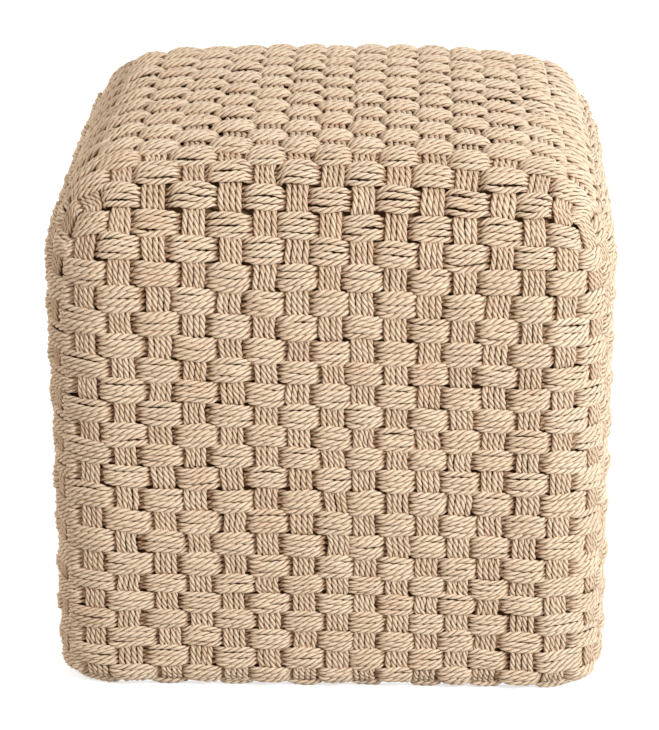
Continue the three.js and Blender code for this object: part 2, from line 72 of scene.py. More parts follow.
# The form that the outer face of the weave follows, in millimetres
WIDTH = (cad_box[1].x - cad_box[0].x) / MM
HEIGHT = (cad_box[1].z - cad_box[0].z) / MM
HALF = WIDTH / 2
CROWN = 30.0
CROWN_POWER = 3
SHOULDER = HEIGHT - CROWN
TOP_EDGE = 79.0
CORNER = 67.0
FLOOR_EDGE = 19.0
FOOT_TAPER = 0.0305
HEM_REACH = 26.5
FOOT_CORNER_FILL, CORNER_ZONE, CORNER_ZONE_REACH = 6.0, 0.66, 0.254
LEFT_SWELL, SWELL_HEIGHT, SWELL_SPREAD, SWELL_POWER = 2.0, 310.0, 80.0, 4
PAST_MITRE = 1.35

EIGHTH_TURN = math.pi / 4
WALL_RISE = SHOULDER - TOP_EDGE - FLOOR_EDGE
TOP_BEND = (TOP_EDGE + CORNER) / 2
MITRE = WALL_RISE + TOP_BEND * EIGHTH_TURN
FLOOR_LINE = -FLOOR_EDGE * math.pi / 2
HEM_END = FLOOR_LINE - HEM_REACH
HALF_SIDE = HALF - CORNER + CORNER * EIGHTH_TURN
SIDE = 2 * HALF_SIDE
CLIMB = MITRE - HEM_END
TOP_RUN = 446.8
LOOP = 2 * CLIMB + TOP_RUN

# The weave. The front loops' places are read off the photograph, from left to right of the middle, in
# millimetres, and so is how far to the right they shift over the top. The places of the side loops on
# the top, from front to back, are read in shares of half a side
FRONT_LOOPS_AT_SHOULDER = (-196.5, -165, -137.3, -107.3, -77.9, -51.4, -26, 0.4,
                           25.4, 53.3, 79.8, 106.2, 135, 162, 189.5)
FRONT_LOOPS_AT_FOOT = (-194, -163.4, -133, -106.8, -77.8, -49.7, -21.2, 6.4,
                       29.4, 55.9, 80, 105.5, 130.5, 158.5, 186.6)
SHOULDER_READ, FOOT_READ, BELOW_FOOT = 361.0, 65.0, -0.15
FRONT_LOOPS = len(FRONT_LOOPS_AT_SHOULDER)
FRONT_LOOPS_FAN = (-4, -1, -1, -1, -1, 1, 2, 2, 2, 0, 1, 2, 2, 8, 12)
FAN_PLACES, FAN_SHARES = (-1, -0.85, -0.4, 0.2, 1), (0, 1, 0.9, 0.2, 0)
SIDE_LOOPS_ON_TOP = (-0.992, -0.913, -0.842, -0.785, -0.71, -0.63, -0.549, -0.468,
                     -0.385, -0.3, -0.213, -0.125, -0.034, 0.058, 0.148, 0.237,
                     0.327, 0.417, 0.507, 0.601, 0.693, 0.785, 0.875, 0.96)
SIDE_LOOPS = len(SIDE_LOOPS_ON_TOP)
LEFT_SPREAD, RIGHT_SPREAD = 0.927, 0.995
EVENED_OUT = 90.0
ROW_DROOP_HIGH, ROW_DROOP_LOW = 4.0, 1.0
DROOPING_SIDE_LOOPS = 7
RISE_FROM = 60.0
RISE_TURNS = (0, 1.04, 1.3, 1.85, 2.1, 2.9, 3.15, 3.7, 3.96, 4)
RISES = (0, 0, 10, 10, 7, 7, 3, 3, 0, 0)
FIRST_BELT = 368.0
BELT_STEPS = (18.5, 20.1, 20.6, 19.4, 19.3, 18.2, 18.1, 18.1, 18.1, 17.5, 17.5, 18.9, 18.9,
              18.4, 18.5, 15.7, 15.7, 15.8, 15.8, 16.4, 17.3, 16.5, 16.5, 14)
BELTS = len(BELT_STEPS) + 1
CORDS = 4
WEAVE_MIDDLE = 5.5
STEEPEST = 2.1
FLOAT_RISE, FLOAT_SINK = 3.2, 2.6
TOP_FLOAT_RISE = 4.2
UPRIGHT_RISE, SIDE_UPRIGHT_RISE, UPRIGHT_SINK = 1.5, 0.8, 1.6
FLOAT_LAY, UPRIGHT_LAY = 20.0, 16.5
UPRIGHT_CORD = 4.5
FLOAT_THICKNESS = 5.4
UPRIGHT_THICKNESS = 4.9
FLOAT_TOUCH, UPRIGHT_TOUCH = 0.58, 0.53
DIVE_REACH = 14.0
PLIES = 3

FRONT_WALL, LEFT_WALL = 0, 3
WALL_ALONG = np.array([[1, 0], [0, 1], [-1, 0], [0, -1]], float)
WALL_OUT = np.array([[0, -1], [1, 0], [0, 1], [-1, 0]], float)


# Places on the form

def unit(vectors):
    return vectors / np.linalg.norm(vectors, axis=-1, keepdims=True)


def round_corner(a):
    """The place along the core and the slant at the corner. a runs from -1 to 1 between two corners."""
    core = HALF - CORNER
    run = np.abs(a) * HALF_SIDE
    angle = np.clip((run - core) / CORNER, 0, EIGHTH_TURN * PAST_MITRE)
    return np.sign(a) * np.minimum(run, core), np.sign(a) * np.tan(angle)


def finish_form(points):
    """Adds the crown of the top, draws the foot in, fills its corners and swells the left wall a little."""
    across = np.clip(np.abs(points[..., 0]) / HALF, 0, 1)
    back = np.clip(np.abs(points[..., 1]) / HALF, 0, 1)
    high = np.clip((points[..., 2] - (SHOULDER - TOP_EDGE)) / TOP_EDGE, 0, 1)
    points[..., 2] += CROWN * (1 - across ** CROWN_POWER) * (1 - back ** CROWN_POWER) * high
    low = np.clip(1 - points[..., 2] / SHOULDER, 0, 1)
    corner = np.clip((across - CORNER_ZONE) / CORNER_ZONE_REACH, 0, 1)
    corner *= np.clip((back - CORNER_ZONE) / CORNER_ZONE_REACH, 0, 1)
    points[..., :2] *= (1 - FOOT_TAPER * low)[..., None]
    points[..., :2] += np.sign(points[..., :2]) * (FOOT_CORNER_FILL * corner * low)[..., None]
    leftward = np.clip(-points[..., 0] / HALF, 0, 1) ** SWELL_POWER
    points[..., 0] -= LEFT_SWELL * leftward * np.exp(-((points[..., 2] - SWELL_HEIGHT) / SWELL_SPREAD) ** 2)
    return points


def on_wall(face, a, v, inset=0.0):
    """A point of a wall. v is the way up it in millimetres: 0 at its foot, below 0 round the floor edge."""
    face, a, v = np.broadcast_arrays(face, np.asarray(a, float), np.asarray(v, float))
    core, slant = round_corner(a)
    along, out = WALL_ALONG[face], WALL_OUT[face]
    plan_core = core[..., None] * along + (HALF - CORNER) * out
    plan = out + slant[..., None] * along
    lean = np.clip((v - WALL_RISE) / TOP_BEND, 0, EIGHTH_TURN * PAST_MITRE)
    way = unit(np.concatenate([plan, np.tan(lean)[..., None]], -1))
    points = np.empty(a.shape + (3,))
    points[..., :2] = plan_core + (CORNER - inset) * way[..., :2]
    points[..., 2] = FLOOR_EDGE + np.clip(v, 0, WALL_RISE) + (TOP_EDGE - inset) * way[..., 2]
    low = v < 0
    if low.any():
        plan = unit(plan)
        turn = np.clip(-v / FLOOR_EDGE, 0, math.pi / 2)
        inward = np.clip(FLOOR_LINE - v, 0, None)
        edge = FLOOR_EDGE - inset
        reach = CORNER - FLOOR_EDGE + edge * np.cos(turn) - inward
        points[low, :2] = (plan_core + plan * reach[..., None])[low]
        points[low, 2] = (FLOOR_EDGE - edge * np.sin(turn))[low]
    return finish_form(points)


def on_level(face, a, level, inset):
    """A point at a level above the floor, and so far inside the outer face."""
    core, slant = round_corner(a)
    along, out = WALL_ALONG[face], WALL_OUT[face]
    plan = unit(out + slant[..., None] * along)
    points = np.empty(a.shape + (3,))
    points[..., :2] = core[..., None] * along + (HALF - CORNER) * out + (CORNER - inset) * plan
    points[..., 2] = level
    return finish_form(points)


def on_top(a, b, inset=0.0):
    """A point of the top: a from left to right, b from front to back, both from -1 to 1."""
    a, b = np.broadcast_arrays(np.asarray(a, float), np.asarray(b, float))
    core_x, slant_x = round_corner(a)
    core_y, slant_y = round_corner(b)
    way = unit(np.stack([slant_x, slant_y, np.ones_like(slant_x)], -1))
    core = np.stack([core_x, core_y, np.full_like(core_x, SHOULDER - TOP_EDGE)], -1)
    return finish_form(core + way * (np.array([CORNER, CORNER, TOP_EDGE]) - inset))


def belt_way(height):
    """Places on a belt: s goes round the four walls from the front left corner, across goes up."""
    def place(s, across):
        turn = np.mod(s, 4 * SIDE) / SIDE
        face, a = wall_at(turn)
        return on_wall(face, a, row_level(height, turn) + across)
    return place


def wall_at(turn):
    """The wall and the place along it from -1 to 1. turn counts sides from the front left corner."""
    face = np.minimum(np.asarray(turn, float).astype(int), 3)
    return face, 2 * (turn - face) - 1


def row_level(height, turn):
    """The way up the wall of a row. It droops to the right and rises on the walls that don't show."""
    face, a = wall_at(turn)
    rightward = np.choose(face, [a, 1 + 0 * a, -a, -1 + 0 * a])
    upper = np.clip((height - RISE_FROM) / (FIRST_BELT - RISE_FROM), 0, 1)
    return height - row_droop(height) * rightward + np.interp(turn, RISE_TURNS, RISES) * upper


def row_droop(height):
    """How much lower a row lies at the right than in the middle, as in the photograph."""
    return np.interp(height, [0, FIRST_BELT], [ROW_DROOP_LOW, ROW_DROOP_HIGH])


def height_share(v):
    """0 where the loops' lower places are read, 1 where their upper places are."""
    return np.clip((v - FOOT_READ) / (SHOULDER_READ - FOOT_READ), BELOW_FOOT, 1)


def front_station(j, v, rearward):
    """As read on the front, fanned out a little over the top, and evened out down the rear wall."""
    share = height_share(v)
    read = FRONT_LOOPS_AT_FOOT[j] * (1 - share) + FRONT_LOOPS_AT_SHOULDER[j] * share
    read = (read + FRONT_LOOPS_FAN[j] * np.interp(rearward, FAN_PLACES, FAN_SHARES)) / HALF_SIDE
    even = (j + 0.5) / FRONT_LOOPS * 2 - 1
    behind = np.where(np.asarray(rearward) > 0, np.clip((MITRE - v) / EVENED_OUT, 0, 1), 0)
    return read * (1 - behind) + even * behind


def side_station(k, v, rightward):
    """As read on the top, where the first loops droop to the right, and evened out down the side walls."""
    spread = np.interp(rightward, [-1, 1], [LEFT_SPREAD, RIGHT_SPREAD])
    even = spread * ((k + 0.5) / SIDE_LOOPS * 2 - 1)
    share = np.clip((MITRE - v) / EVENED_OUT, 0, 1)
    droop = max(1 - k / DROOPING_SIDE_LOOPS, 0) * ROW_DROOP_HIGH / HALF_SIDE
    return (SIDE_LOOPS_ON_TOP[k] - droop * rightward) * (1 - share) + even * share


def loop_way(first_wall, station):
    """Places on a loop: s climbs the first wall, crosses the top and goes down the opposite wall."""
    over_front = first_wall == FRONT_WALL

    def place(s, across):
        s, across = np.broadcast_arrays(s, across)
        v = np.where(s < CLIMB, HEM_END + s, HEM_END + LOOP - s)
        crossing = np.clip(2 * (s - CLIMB) / TOP_RUN - 1, -1, 1)
        t = station(np.minimum(v, MITRE), crossing) + across / HALF_SIDE
        climbs = s < CLIMB + TOP_RUN / 2
        face = np.where(climbs, first_wall, (first_wall + 2) % 4)
        side = np.where(climbs == over_front, t, -t)
        walls = on_wall(face, side, np.minimum(v, MITRE))
        tops = on_top(t, crossing) if over_front else on_top(crossing, t)
        on_the_top = (s > CLIMB) & (s < CLIMB + TOP_RUN)
        return np.where(on_the_top[..., None], tops, walls)
    return place


# Crossings: where each bundle meets the others, and which lies over

def belt_heights():
    return FIRST_BELT - np.concatenate([[0], np.cumsum(BELT_STEPS)])


def belt_crossings(height):
    """The places of the uprights along a belt, with their numbers, once round."""
    def along(station, count, end):
        return np.array([station(number, height, end) for number in range(count)]) * HALF_SIDE + HALF_SIDE
    front, rear = [along(front_station, FRONT_LOOPS, end) for end in (-1, 1)]
    left, right = [along(side_station, SIDE_LOOPS, end) for end in (-1, 1)]
    places = np.concatenate([front, SIDE + right, 3 * SIDE - rear[::-1], 4 * SIDE - left[::-1]])
    return places, np.arange(len(places))


def front_loop_crossings(j):
    """The places of the belts and of the side loops along a front loop, with their numbers."""
    stations = [side_station(k, MITRE, front_station(j, MITRE, back))
                for k, back in enumerate(SIDE_LOOPS_ON_TOP)]
    up = (1 + front_station(j, MITRE, -1)) / 2
    down = 2 + (1 - front_station(j, MITRE, 1)) / 2
    return loop_crossings(np.array(stations), up, down)


def side_loop_crossings(k):
    """The same along a side loop."""
    stations = [front_station(j, MITRE, SIDE_LOOPS_ON_TOP[k]) for j in range(FRONT_LOOPS)]
    up = 3 + (1 - side_station(k, MITRE, -1)) / 2
    down = 1 + (1 + side_station(k, MITRE, 1)) / 2
    return loop_crossings(np.array(stations), up, down)


def loop_crossings(stations, turn_up, turn_down):
    """turn_up and turn_down: where round the walls the loop climbs and goes down."""
    heights = belt_heights()[::-1]
    climb = row_level(heights, turn_up) - HEM_END
    top = CLIMB + (stations + 1) / 2 * TOP_RUN
    down = LOOP - (row_level(heights, turn_down) - HEM_END)[::-1]
    places = np.concatenate([climb, top, down])
    return places, np.arange(len(places)) - BELTS


def with_dives(places, numbers, parity, around):
    """Adds where a bundle dives: midway between crossings, or in a wide gap near the one it lies under."""
    ahead, ahead_numbers = places[1:], numbers[1:]
    if around:
        ahead = np.append(ahead, places[0] + around)
        ahead_numbers = np.append(ahead_numbers, numbers[-1] + 1)
    here = places[:len(ahead)]
    gap = ahead - here
    under = np.minimum(DIVE_REACH, gap / 2)
    starts_over = (numbers[:len(ahead)] + parity) % 2 == 0
    dives = np.where(starts_over, ahead - under, here + under)
    order = np.argsort(np.concatenate([places, dives]))
    numbered = np.concatenate([numbers.astype(float), numbers[:len(ahead)] + 0.5])
    return np.concatenate([places, dives])[order], numbered[order]


# How many places a belt's list repeats beyond each of its ends
ROUND_AGAIN = 6


def phase_along(s, places, numbers, around):
    """The crossing number at s, as a number that grows smoothly from one crossing to the next."""
    if around:
        count = len(places) // 2
        places = np.concatenate([places[-ROUND_AGAIN:] - around, places, places[:ROUND_AGAIN] + around])
        numbers = np.concatenate([numbers[-ROUND_AGAIN:] - count, numbers, numbers[:ROUND_AGAIN] + count])
        return np.interp(s, places, numbers)
    first, last = places[2] - places[0], places[-1] - places[-3]
    places = np.concatenate([[places[0] - 2 * first], places, [places[-1] + 2 * last]])
    numbers = np.concatenate([[numbers[0] - 2], numbers, [numbers[-1] + 2]])
    return np.interp(s, places, numbers)


# Irregularities of hand work

OPEN_STRETCH, FEWEST_WAVES, WAVE_FALL = 1.25, 3, 1.5


def wander(rng, s, length, scale, closed):
    """A smooth random line of about unit size, whose waves are about scale long."""
    period = length if closed else length * OPEN_STRETCH
    waves = max(FEWEST_WAVES, int(period / scale))
    number = np.arange(1, waves + 1)
    size = rng.normal(size=waves) * np.exp(-0.5 * (number / waves * WAVE_FALL) ** 2)
    start = rng.uniform(0, 2 * math.pi, waves)
    line = np.sin(2 * math.pi * np.outer(s / period, number) + start) @ size
    return line / math.sqrt((size ** 2).sum() / 2)


def per_crossing(rng, phase, spread):
    """A random value for each crossing, which holds in its middle and fades out at its ends."""
    nearest = np.round(phase).astype(int)
    values = rng.normal(0, spread, nearest.max() - nearest.min() + 1)
    return values[nearest - nearest.min()] * np.abs(np.cos(math.pi * phase))


# Cords

def steep_wave(phase, crossing_pitch, rise, sink):
    """The height over the middle of the weave: flat over a crossing, steep between two."""
    wave = np.cos(math.pi * phase)
    slope = math.pi * rise / crossing_pitch
    soft = slope / (STEEPEST - slope)
    shaped = wave * (1 + soft) / (np.abs(wave) + soft)
    return np.where(wave > 0, rise, sink) * shaped


# How long a cord's rings are in millimetres, where it is covered and where it shows. They are longer where
# its turns are longer than STEP_LAY
FINE_STEP = 0.5
COVERED_WAVE, SHOWING_WAVE = -0.75, -0.35
COVERED_STEP, SHOWING_STEP, STEP_LAY = 5.0, 1.08, 12


def sample_places(length, phase_of, lay, closed):
    """Places along a cord, close together where it shows and far apart where another covers it."""
    fine = np.linspace(0, length, int(length / FINE_STEP))
    wave = np.cos(math.pi * phase_of(fine))
    step = np.interp(wave, [COVERED_WAVE, SHOWING_WAVE], [COVERED_STEP, SHOWING_STEP]) * lay(fine) / STEP_LAY
    count = np.concatenate([[0], np.cumsum(FINE_STEP / step[:-1])])
    rings = int(count[-1])
    wanted = np.arange(rings) * count[-1] / rings if closed else np.linspace(0, count[-1], rings)
    return np.interp(wanted, count, fine)


def slope_of(points, closed):
    """The direction along a line of points."""
    if closed:
        return unit(np.roll(points, -1, 0) - np.roll(points, 1, 0))
    return unit(np.gradient(points, axis=0))


# A cord's section: a groove between two plies, its sides and the ply's back, for each ply
RING_ANGLES = np.radians([m * 120 + part for m in range(PLIES) for part in (-60, -32, 0, 32)])
RING_RADII = np.array([0.56, 0.86, 1.0, 0.86] * PLIES)
# How much painted groove shade each corner of the section gets
RING_GROOVES = np.array([1.0, 0.3, 0.0, 0.3] * PLIES)
RING = len(RING_ANGLES)
NUDGE = 0.8


def cord_rings(place, s, across, height, half_width, half_thickness, turn, closed):
    """The points of one plied cord: rings whose corners follow the three plies."""
    here = place(s, across)
    ahead = place(s + NUDGE, across) - place(s - NUDGE, across)
    aside = place(s, across + NUDGE) - place(s, across - NUDGE)
    out = unit(np.cross(ahead, aside))
    centre = np.array([0, 0, HEIGHT / 2])
    out *= np.sign(np.sum(out * (here - centre), -1, keepdims=True))
    line = here - (WEAVE_MIDDLE - height)[:, None] * out
    along = slope_of(line, closed)
    up = unit(out - np.sum(out * along, -1, keepdims=True) * along)
    right = np.cross(along, up)
    angle = RING_ANGLES[None, :] - turn[:, None]
    rise = np.cos(angle) * RING_RADII * half_thickness[:, None]
    reach = np.sin(angle) * RING_RADII * half_width[:, None]
    points = line[:, None] + up[:, None] * rise[..., None] + right[:, None] * reach[..., None]
    depth = (WEAVE_MIDDLE - height)[:, None] - rise
    return points, depth


# How uneven the bundles and their cords are: millimetres, shares or tones, and the length of their waves
LIFT_SPREAD, SLANT_SPREAD, FAN_SPREAD = 0.35, 0.8, 0.05
SHIFT_SPREAD, SHIFT_WANDER, SHIFT_WAVE = 0.55, 0.6, 90
ASIDE_SPREAD, ASIDE_WANDER, ASIDE_WAVE = 0.22, 0.2, 28
BOB_SPREAD, BOB_WANDER, BOB_WAVE = 0.3, 0.2, 24
TILT_SPREAD = 0.5
SWELL_WANDER, SWELL_WAVE = 0.05, 16
TONE_SPREAD, TONE_WANDER, TONE_WAVE, HUE_SPREAD = 0.45, 0.35, 60, 0.3
LENS_GAIN, LENS_FALL = 1.6, 0.8
INNER_DOME, OUTER_DOME = 0.45, -0.35


def woven_bundle(name, place, length, crossings, parity, style, closed, seed):
    """Four plied cords that lie side by side and go over and under together, as one mesh."""
    rng = np.random.default_rng(seed)
    around = length if closed else None
    places, numbers = with_dives(*crossings, parity, around)

    def phase_of(s):
        return phase_along(s, places, numbers, around) + parity
    s = sample_places(length, phase_of, style["lay"], closed)
    course = bundle_course(rng, s, length, phase_of, style, closed)
    rows = np.arange(CORDS) - (CORDS - 1) / 2
    return bundle_object(name, [cord_part(rng, place, length, course, row, style, closed) for row in rows])


def bundle_course(rng, s, length, phase_of, style, closed):
    """What a bundle's cords have in common at each place s: height, sideways place, spacing and tones."""
    phase = phase_of(s)
    off_middle = 2 * (phase - np.round(phase))
    shows = np.clip(np.cos(math.pi * phase), 0, 1)
    pitch = 1 / np.maximum((phase_of(s + 1) - phase_of(s - 1)) / 2, 1e-3)
    lift = steep_wave(phase, pitch, style["rise"](s), style["sink"](s))
    lift += per_crossing(rng, phase, LIFT_SPREAD) * shows
    shift = per_crossing(rng, phase, SHIFT_SPREAD) + SHIFT_WANDER * wander(rng, s, length, SHIFT_WAVE, closed)
    fan = per_crossing(rng, phase, FAN_SPREAD)
    slant = per_crossing(rng, phase, SLANT_SPREAD) * off_middle
    tone = per_crossing(rng, phase, 1.0)
    hue = per_crossing(rng, phase, 1.0)
    lens = style["lens"](s)
    spacing = style["cord"](s) * (1 - lens + LENS_GAIN * lens * shows ** LENS_FALL) * (1 + fan)
    return {"s": s, "phase": phase, "off_middle": off_middle, "shows": shows, "lift": lift, "shift": shift,
            "slant": slant, "tone": tone, "hue": hue, "spacing": spacing}


def cord_part(rng, place, length, course, row, style, closed):
    """One cord of a bundle. row counts from the bundle's middle."""
    s, phase, spacing = course["s"], course["phase"], course["spacing"]

    def uneven(size, wave, spread):
        return size * wander(rng, s, length, wave, closed) + per_crossing(rng, phase, spread)
    loose = style["loose"](s)
    aside = uneven(ASIDE_WANDER, ASIDE_WAVE, ASIDE_SPREAD)
    tilt = per_crossing(rng, phase, TILT_SPREAD) * course["off_middle"]
    across = row * spacing + course["shift"] + course["slant"] + loose * (aside + tilt)
    dome = (INNER_DOME if abs(row) < 1 else OUTER_DOME) * style["dome"](s) * course["shows"]
    height = course["lift"] + dome + loose * uneven(BOB_WANDER, BOB_WAVE, BOB_SPREAD)
    swell = 1 + SWELL_WANDER * wander(rng, s, length, SWELL_WAVE, closed)
    turns = 2 * math.pi * np.interp(s, *style["turn"])
    if closed:
        turns *= round(turns[-1] / (2 * math.pi)) * 2 * math.pi / turns[-1]
    turn = turns + rng.uniform(0, 2 * math.pi)
    half_width = spacing * swell * style["touch"](s)
    half_thickness = style["thick"](s) / 2 * swell
    points, depth = cord_rings(place, s, across, height, half_width, half_thickness, turn, closed)
    own_tone = TONE_SPREAD * rng.normal() + TONE_WANDER * wander(rng, s, length, TONE_WAVE, closed)
    return {"points": points, "depth": depth, "s": s, "closed": closed,
            "tone": np.repeat(course["tone"] + own_tone, RING),
            "hue": np.repeat(course["hue"] + HUE_SPREAD * rng.normal(), RING)}


def ring_quads(lows, highs, count):
    """Quads between pairs of rings, given the numbers of the first points of each ring."""
    lows, highs = np.asarray(lows)[:, None], np.asarray(highs)[:, None]
    here = np.arange(count)
    ahead = np.roll(here, -1)
    return np.stack([lows + here, lows + ahead, highs + ahead, highs + here], -1).reshape(-1, 4)


# The rows and margins of the flat map, the shift between the cords' fibres, and the cords' lowest level
UV_ROWS, UV_MARGIN = 6, 0.03
FIBRE_OFFSET = 400.0
LOWEST = 0.1


def quad_corners(*sides):
    """Map places of the corners of quads that lie between low and high, left and right."""
    low, high, left, right = np.broadcast_arrays(*sides)
    corners = [(low, left), (low, right), (high, right), (high, left)]
    return np.stack([np.stack(corner, -1) for corner in corners], 2).reshape(-1, 2)


def sheet_places(runs, number):
    """Where a cord's faces lie on the flat map: in rows, beside those of the other cords."""
    per_row = math.ceil(runs / UV_ROWS)
    i = np.arange(runs)[:, None]
    k = np.arange(RING + 1)[None, :]
    row = i // per_row
    low = (i - row * per_row) / per_row
    strip = 1 / (UV_ROWS * CORDS)
    aside = (number * UV_ROWS + row) * strip + strip * (UV_MARGIN + (1 - 2 * UV_MARGIN) * k / RING)
    return quad_corners(low, low + 1 / per_row, aside[:, :-1], aside[:, 1:])


def ply_places(part, runs, number):
    """Along each cord in centimetres and round it in plies, for the fibres."""
    s = part["s"] / 10
    ahead = np.append(s[1:], 2 * s[-1] - s[-2])
    k = np.arange(RING + 1)[None, :] / (RING / PLIES)
    low, high = [line[:runs, None] + number * FIBRE_OFFSET for line in (s, ahead)]
    return quad_corners(low, high, k[:, :-1], k[:, 1:])


def bundle_object(name, parts):
    """One mesh of a bundle's cords, with a flat map, a fibre map and the values that its material reads."""
    quads, caps, flat_map, ply_map = [], [], [], []
    start = 0
    for number, part in enumerate(parts):
        rings = len(part["points"])
        runs = np.arange(rings if part["closed"] else rings - 1)
        quads.append(ring_quads(start + runs * RING, start + (runs + 1) % rings * RING, RING))
        flat_map.append(sheet_places(len(runs), number))
        ply_map.append(ply_places(part, len(runs), number))
        if not part["closed"]:
            caps.append(start + np.arange(RING)[::-1])
            caps.append(start + (rings - 1) * RING + np.arange(RING))
        start += rings * RING
    points = np.concatenate([part["points"].reshape(-1, 3) for part in parts])
    points[:, 2] = np.maximum(points[:, 2], LOWEST)
    obj = mesh_object(name, points, np.concatenate(quads), caps)
    cap_places = np.zeros((len(caps) * RING, 2))
    for layer, values in (("UVMap", flat_map), ("plies", ply_map)):
        uv = obj.data.uv_layers.new(name=layer, do_init=False)
        uv.uv.foreach_set("vector", np.concatenate(values + [cap_places]).astype(np.float32).ravel())
    obj.data.uv_layers.active = obj.data.uv_layers["UVMap"]
    # depth and groove only steer the cord material's painted shade; tone and hue are the cords' own colour.
    values = {key: np.concatenate([part[key].ravel() for part in parts]) for key in ("depth", "tone", "hue")}
    values["groove"] = np.tile(RING_GROOVES, len(points) // RING)
    for key, value in values.items():
        attribute = obj.data.attributes.new(key, "FLOAT", "POINT")
        attribute.data.foreach_set("value", value.astype(np.float32))
    return obj


def mesh_object(name, points_mm, quads, polygons=(), smooth=True):
    """A mesh object in metres, from points in millimetres, four-cornered faces and faces of any size."""
    mesh = bpy.data.meshes.new(name)
    corners = np.concatenate([np.asarray(quads).ravel()] + [np.asarray(p) for p in polygons])
    sizes = np.array([4] * len(quads) + [len(p) for p in polygons])
    mesh.vertices.add(len(points_mm))
    mesh.vertices.foreach_set("co", (points_mm * MM).astype(np.float32).ravel())
    mesh.loops.add(len(corners))
    mesh.loops.foreach_set("vertex_index", corners.astype(np.int32))
    mesh.polygons.add(len(sizes))
    mesh.polygons.foreach_set("loop_start", (np.cumsum(sizes) - sizes).astype(np.int32))
    mesh.polygons.foreach_set("use_smooth", np.full(len(sizes), smooth))
    mesh.update(calc_edges=True)
    obj = bpy.data.objects.new(name, mesh)
    bpy.context.scene.collection.objects.link(obj)
    return obj


# How each set of bundles is laid

BELT_FULLNESS = 1.05
FRONT_TOP_SHARE, SIDE_THICKNESS_SHARE, SIDE_CORD_SHARE = 0.7, 0.9, 0.22
EDGE_BLEND = 20.0
TURN_MARGIN = 20


def steady(value):
    return lambda s: np.full_like(np.asarray(s, float), value)


def turns_for(length, lay):
    """Places along a cord, and how many turns it has made there."""
    s = np.linspace(-TURN_MARGIN, length + TURN_MARGIN, int(length) + 2 * TURN_MARGIN + 1)
    turns = np.cumsum((s[1] - s[0]) / lay(s))
    turns -= np.interp(0, s, turns)
    return s, turns


def mixed(wall_value, top_value):
    """One value on the walls and another on the top, where a loop crosses it."""
    def value(s):
        s = np.asarray(s, float)
        rise = np.clip((s - CLIMB) / EDGE_BLEND + 0.5, 0, 1)
        fall = np.clip((CLIMB + TOP_RUN - s) / EDGE_BLEND + 0.5, 0, 1)
        return wall_value + (top_value - wall_value) * np.minimum(rise, fall)
    return value


def style_of(length, **values):
    """A set of bundles' values, each as a function of the place along the bundle."""
    style = {key: value if callable(value) else steady(value) for key, value in values.items()}
    style["turn"] = turns_for(length, style["lay"])
    return style


def belt_style(step):
    """Belts: wide floats over the front loops, shorter ones over the side loops."""
    return style_of(4 * SIDE, lay=FLOAT_LAY, rise=FLOAT_RISE, sink=FLOAT_SINK, touch=FLOAT_TOUCH,
                    thick=FLOAT_THICKNESS, cord=BELT_FULLNESS * step / CORDS, lens=0.085, dome=1.4, loose=1.4)


def front_loop_style():
    """Front loops: straight, a little sunk and tightly laid."""
    return style_of(LOOP, lay=UPRIGHT_LAY, rise=mixed(UPRIGHT_RISE, UPRIGHT_RISE * FRONT_TOP_SHARE),
                    sink=UPRIGHT_SINK, touch=UPRIGHT_TOUCH, thick=UPRIGHT_THICKNESS, cord=UPRIGHT_CORD,
                    lens=0.0, dome=0.0, loose=0.55)


def side_loop_style():
    """Side loops: floats like the belts' on the top, uprights on the walls."""
    pitch = SIDE / SIDE_LOOPS
    return style_of(LOOP, lay=mixed(UPRIGHT_LAY, FLOAT_LAY), rise=mixed(SIDE_UPRIGHT_RISE, TOP_FLOAT_RISE),
                    sink=mixed(UPRIGHT_SINK, FLOAT_SINK), touch=mixed(UPRIGHT_TOUCH, FLOAT_TOUCH),
                    thick=mixed(UPRIGHT_THICKNESS * SIDE_THICKNESS_SHARE, FLOAT_THICKNESS),
                    cord=mixed(pitch * SIDE_CORD_SHARE, pitch / CORDS), lens=mixed(0.0, 0.12),
                    dome=mixed(0.0, 1.4), loose=mixed(0.5, 1.4))


def weave_cover():
    """All the bundles of the cover."""
    made = []
    steps = (BELT_STEPS[0],) + BELT_STEPS
    for i, height in enumerate(belt_heights()):
        crossings = belt_crossings(height)
        made.append(woven_bundle(f"weave_belt_{i + 1:02d}", belt_way(height), 4 * SIDE, crossings,
                                 i, belt_style(steps[i]), True, (SEED, 1, i)))
    for j in range(FRONT_LOOPS):
        way = loop_way(FRONT_WALL, lambda v, crossing, j=j: front_station(j, v, crossing))
        made.append(woven_bundle(f"weave_front_loop_{j + 1:02d}", way, LOOP, front_loop_crossings(j),
                                 j, front_loop_style(), False, (SEED, 2, j)))
    for k in range(SIDE_LOOPS):
        way = loop_way(LEFT_WALL, lambda v, crossing, k=k: side_station(k, v, crossing))
        made.append(woven_bundle(f"weave_side_loop_{k + 1:02d}", way, LOOP, side_loop_crossings(k),
                                 k + 1, side_loop_style(), False, (SEED, 3, k)))
    return made


# Bodies of rings: the cloths, the wadding and the foam behind the weave follow its form further in

RING_STEPS = 56
AROUND = 4 * RING_STEPS
LID_SHARE = 0.86
LUMP_WAVES = 9

# How lumpy each body is: the size and length of its lumps in millimetres, and its seed
LUMPS = {"lining": (0.12, 30, 11), "liner_bag": (0.08, 22, 12), "wadding_sides": (0.12, 26, 13),
         "wadding_over_pad": (0.12, 26, 14), "crown_foam": (0.1, 18, 15), "foam_slab_1": (0.05, 12, 21),
         "foam_slab_2": (0.05, 12, 22), "foam_slab_3": (0.05, 12, 23)}


def ring_places():
    """Points once round the four walls, from the front left corner."""
    face = np.repeat(np.arange(4), RING_STEPS)
    return face, np.tile(-1 + 2 * np.arange(RING_STEPS) / RING_STEPS, 4)


def level_ring(level, inset):
    return on_level(*ring_places(), level, inset)


def wall_ring(v, inset):
    return on_wall(*ring_places(), v, inset)


def edge_rings(first, last, inset, count):
    """Rings up a wall, from one way up it to another."""
    return [wall_ring(v, inset) for v in np.linspace(first, last, count)]


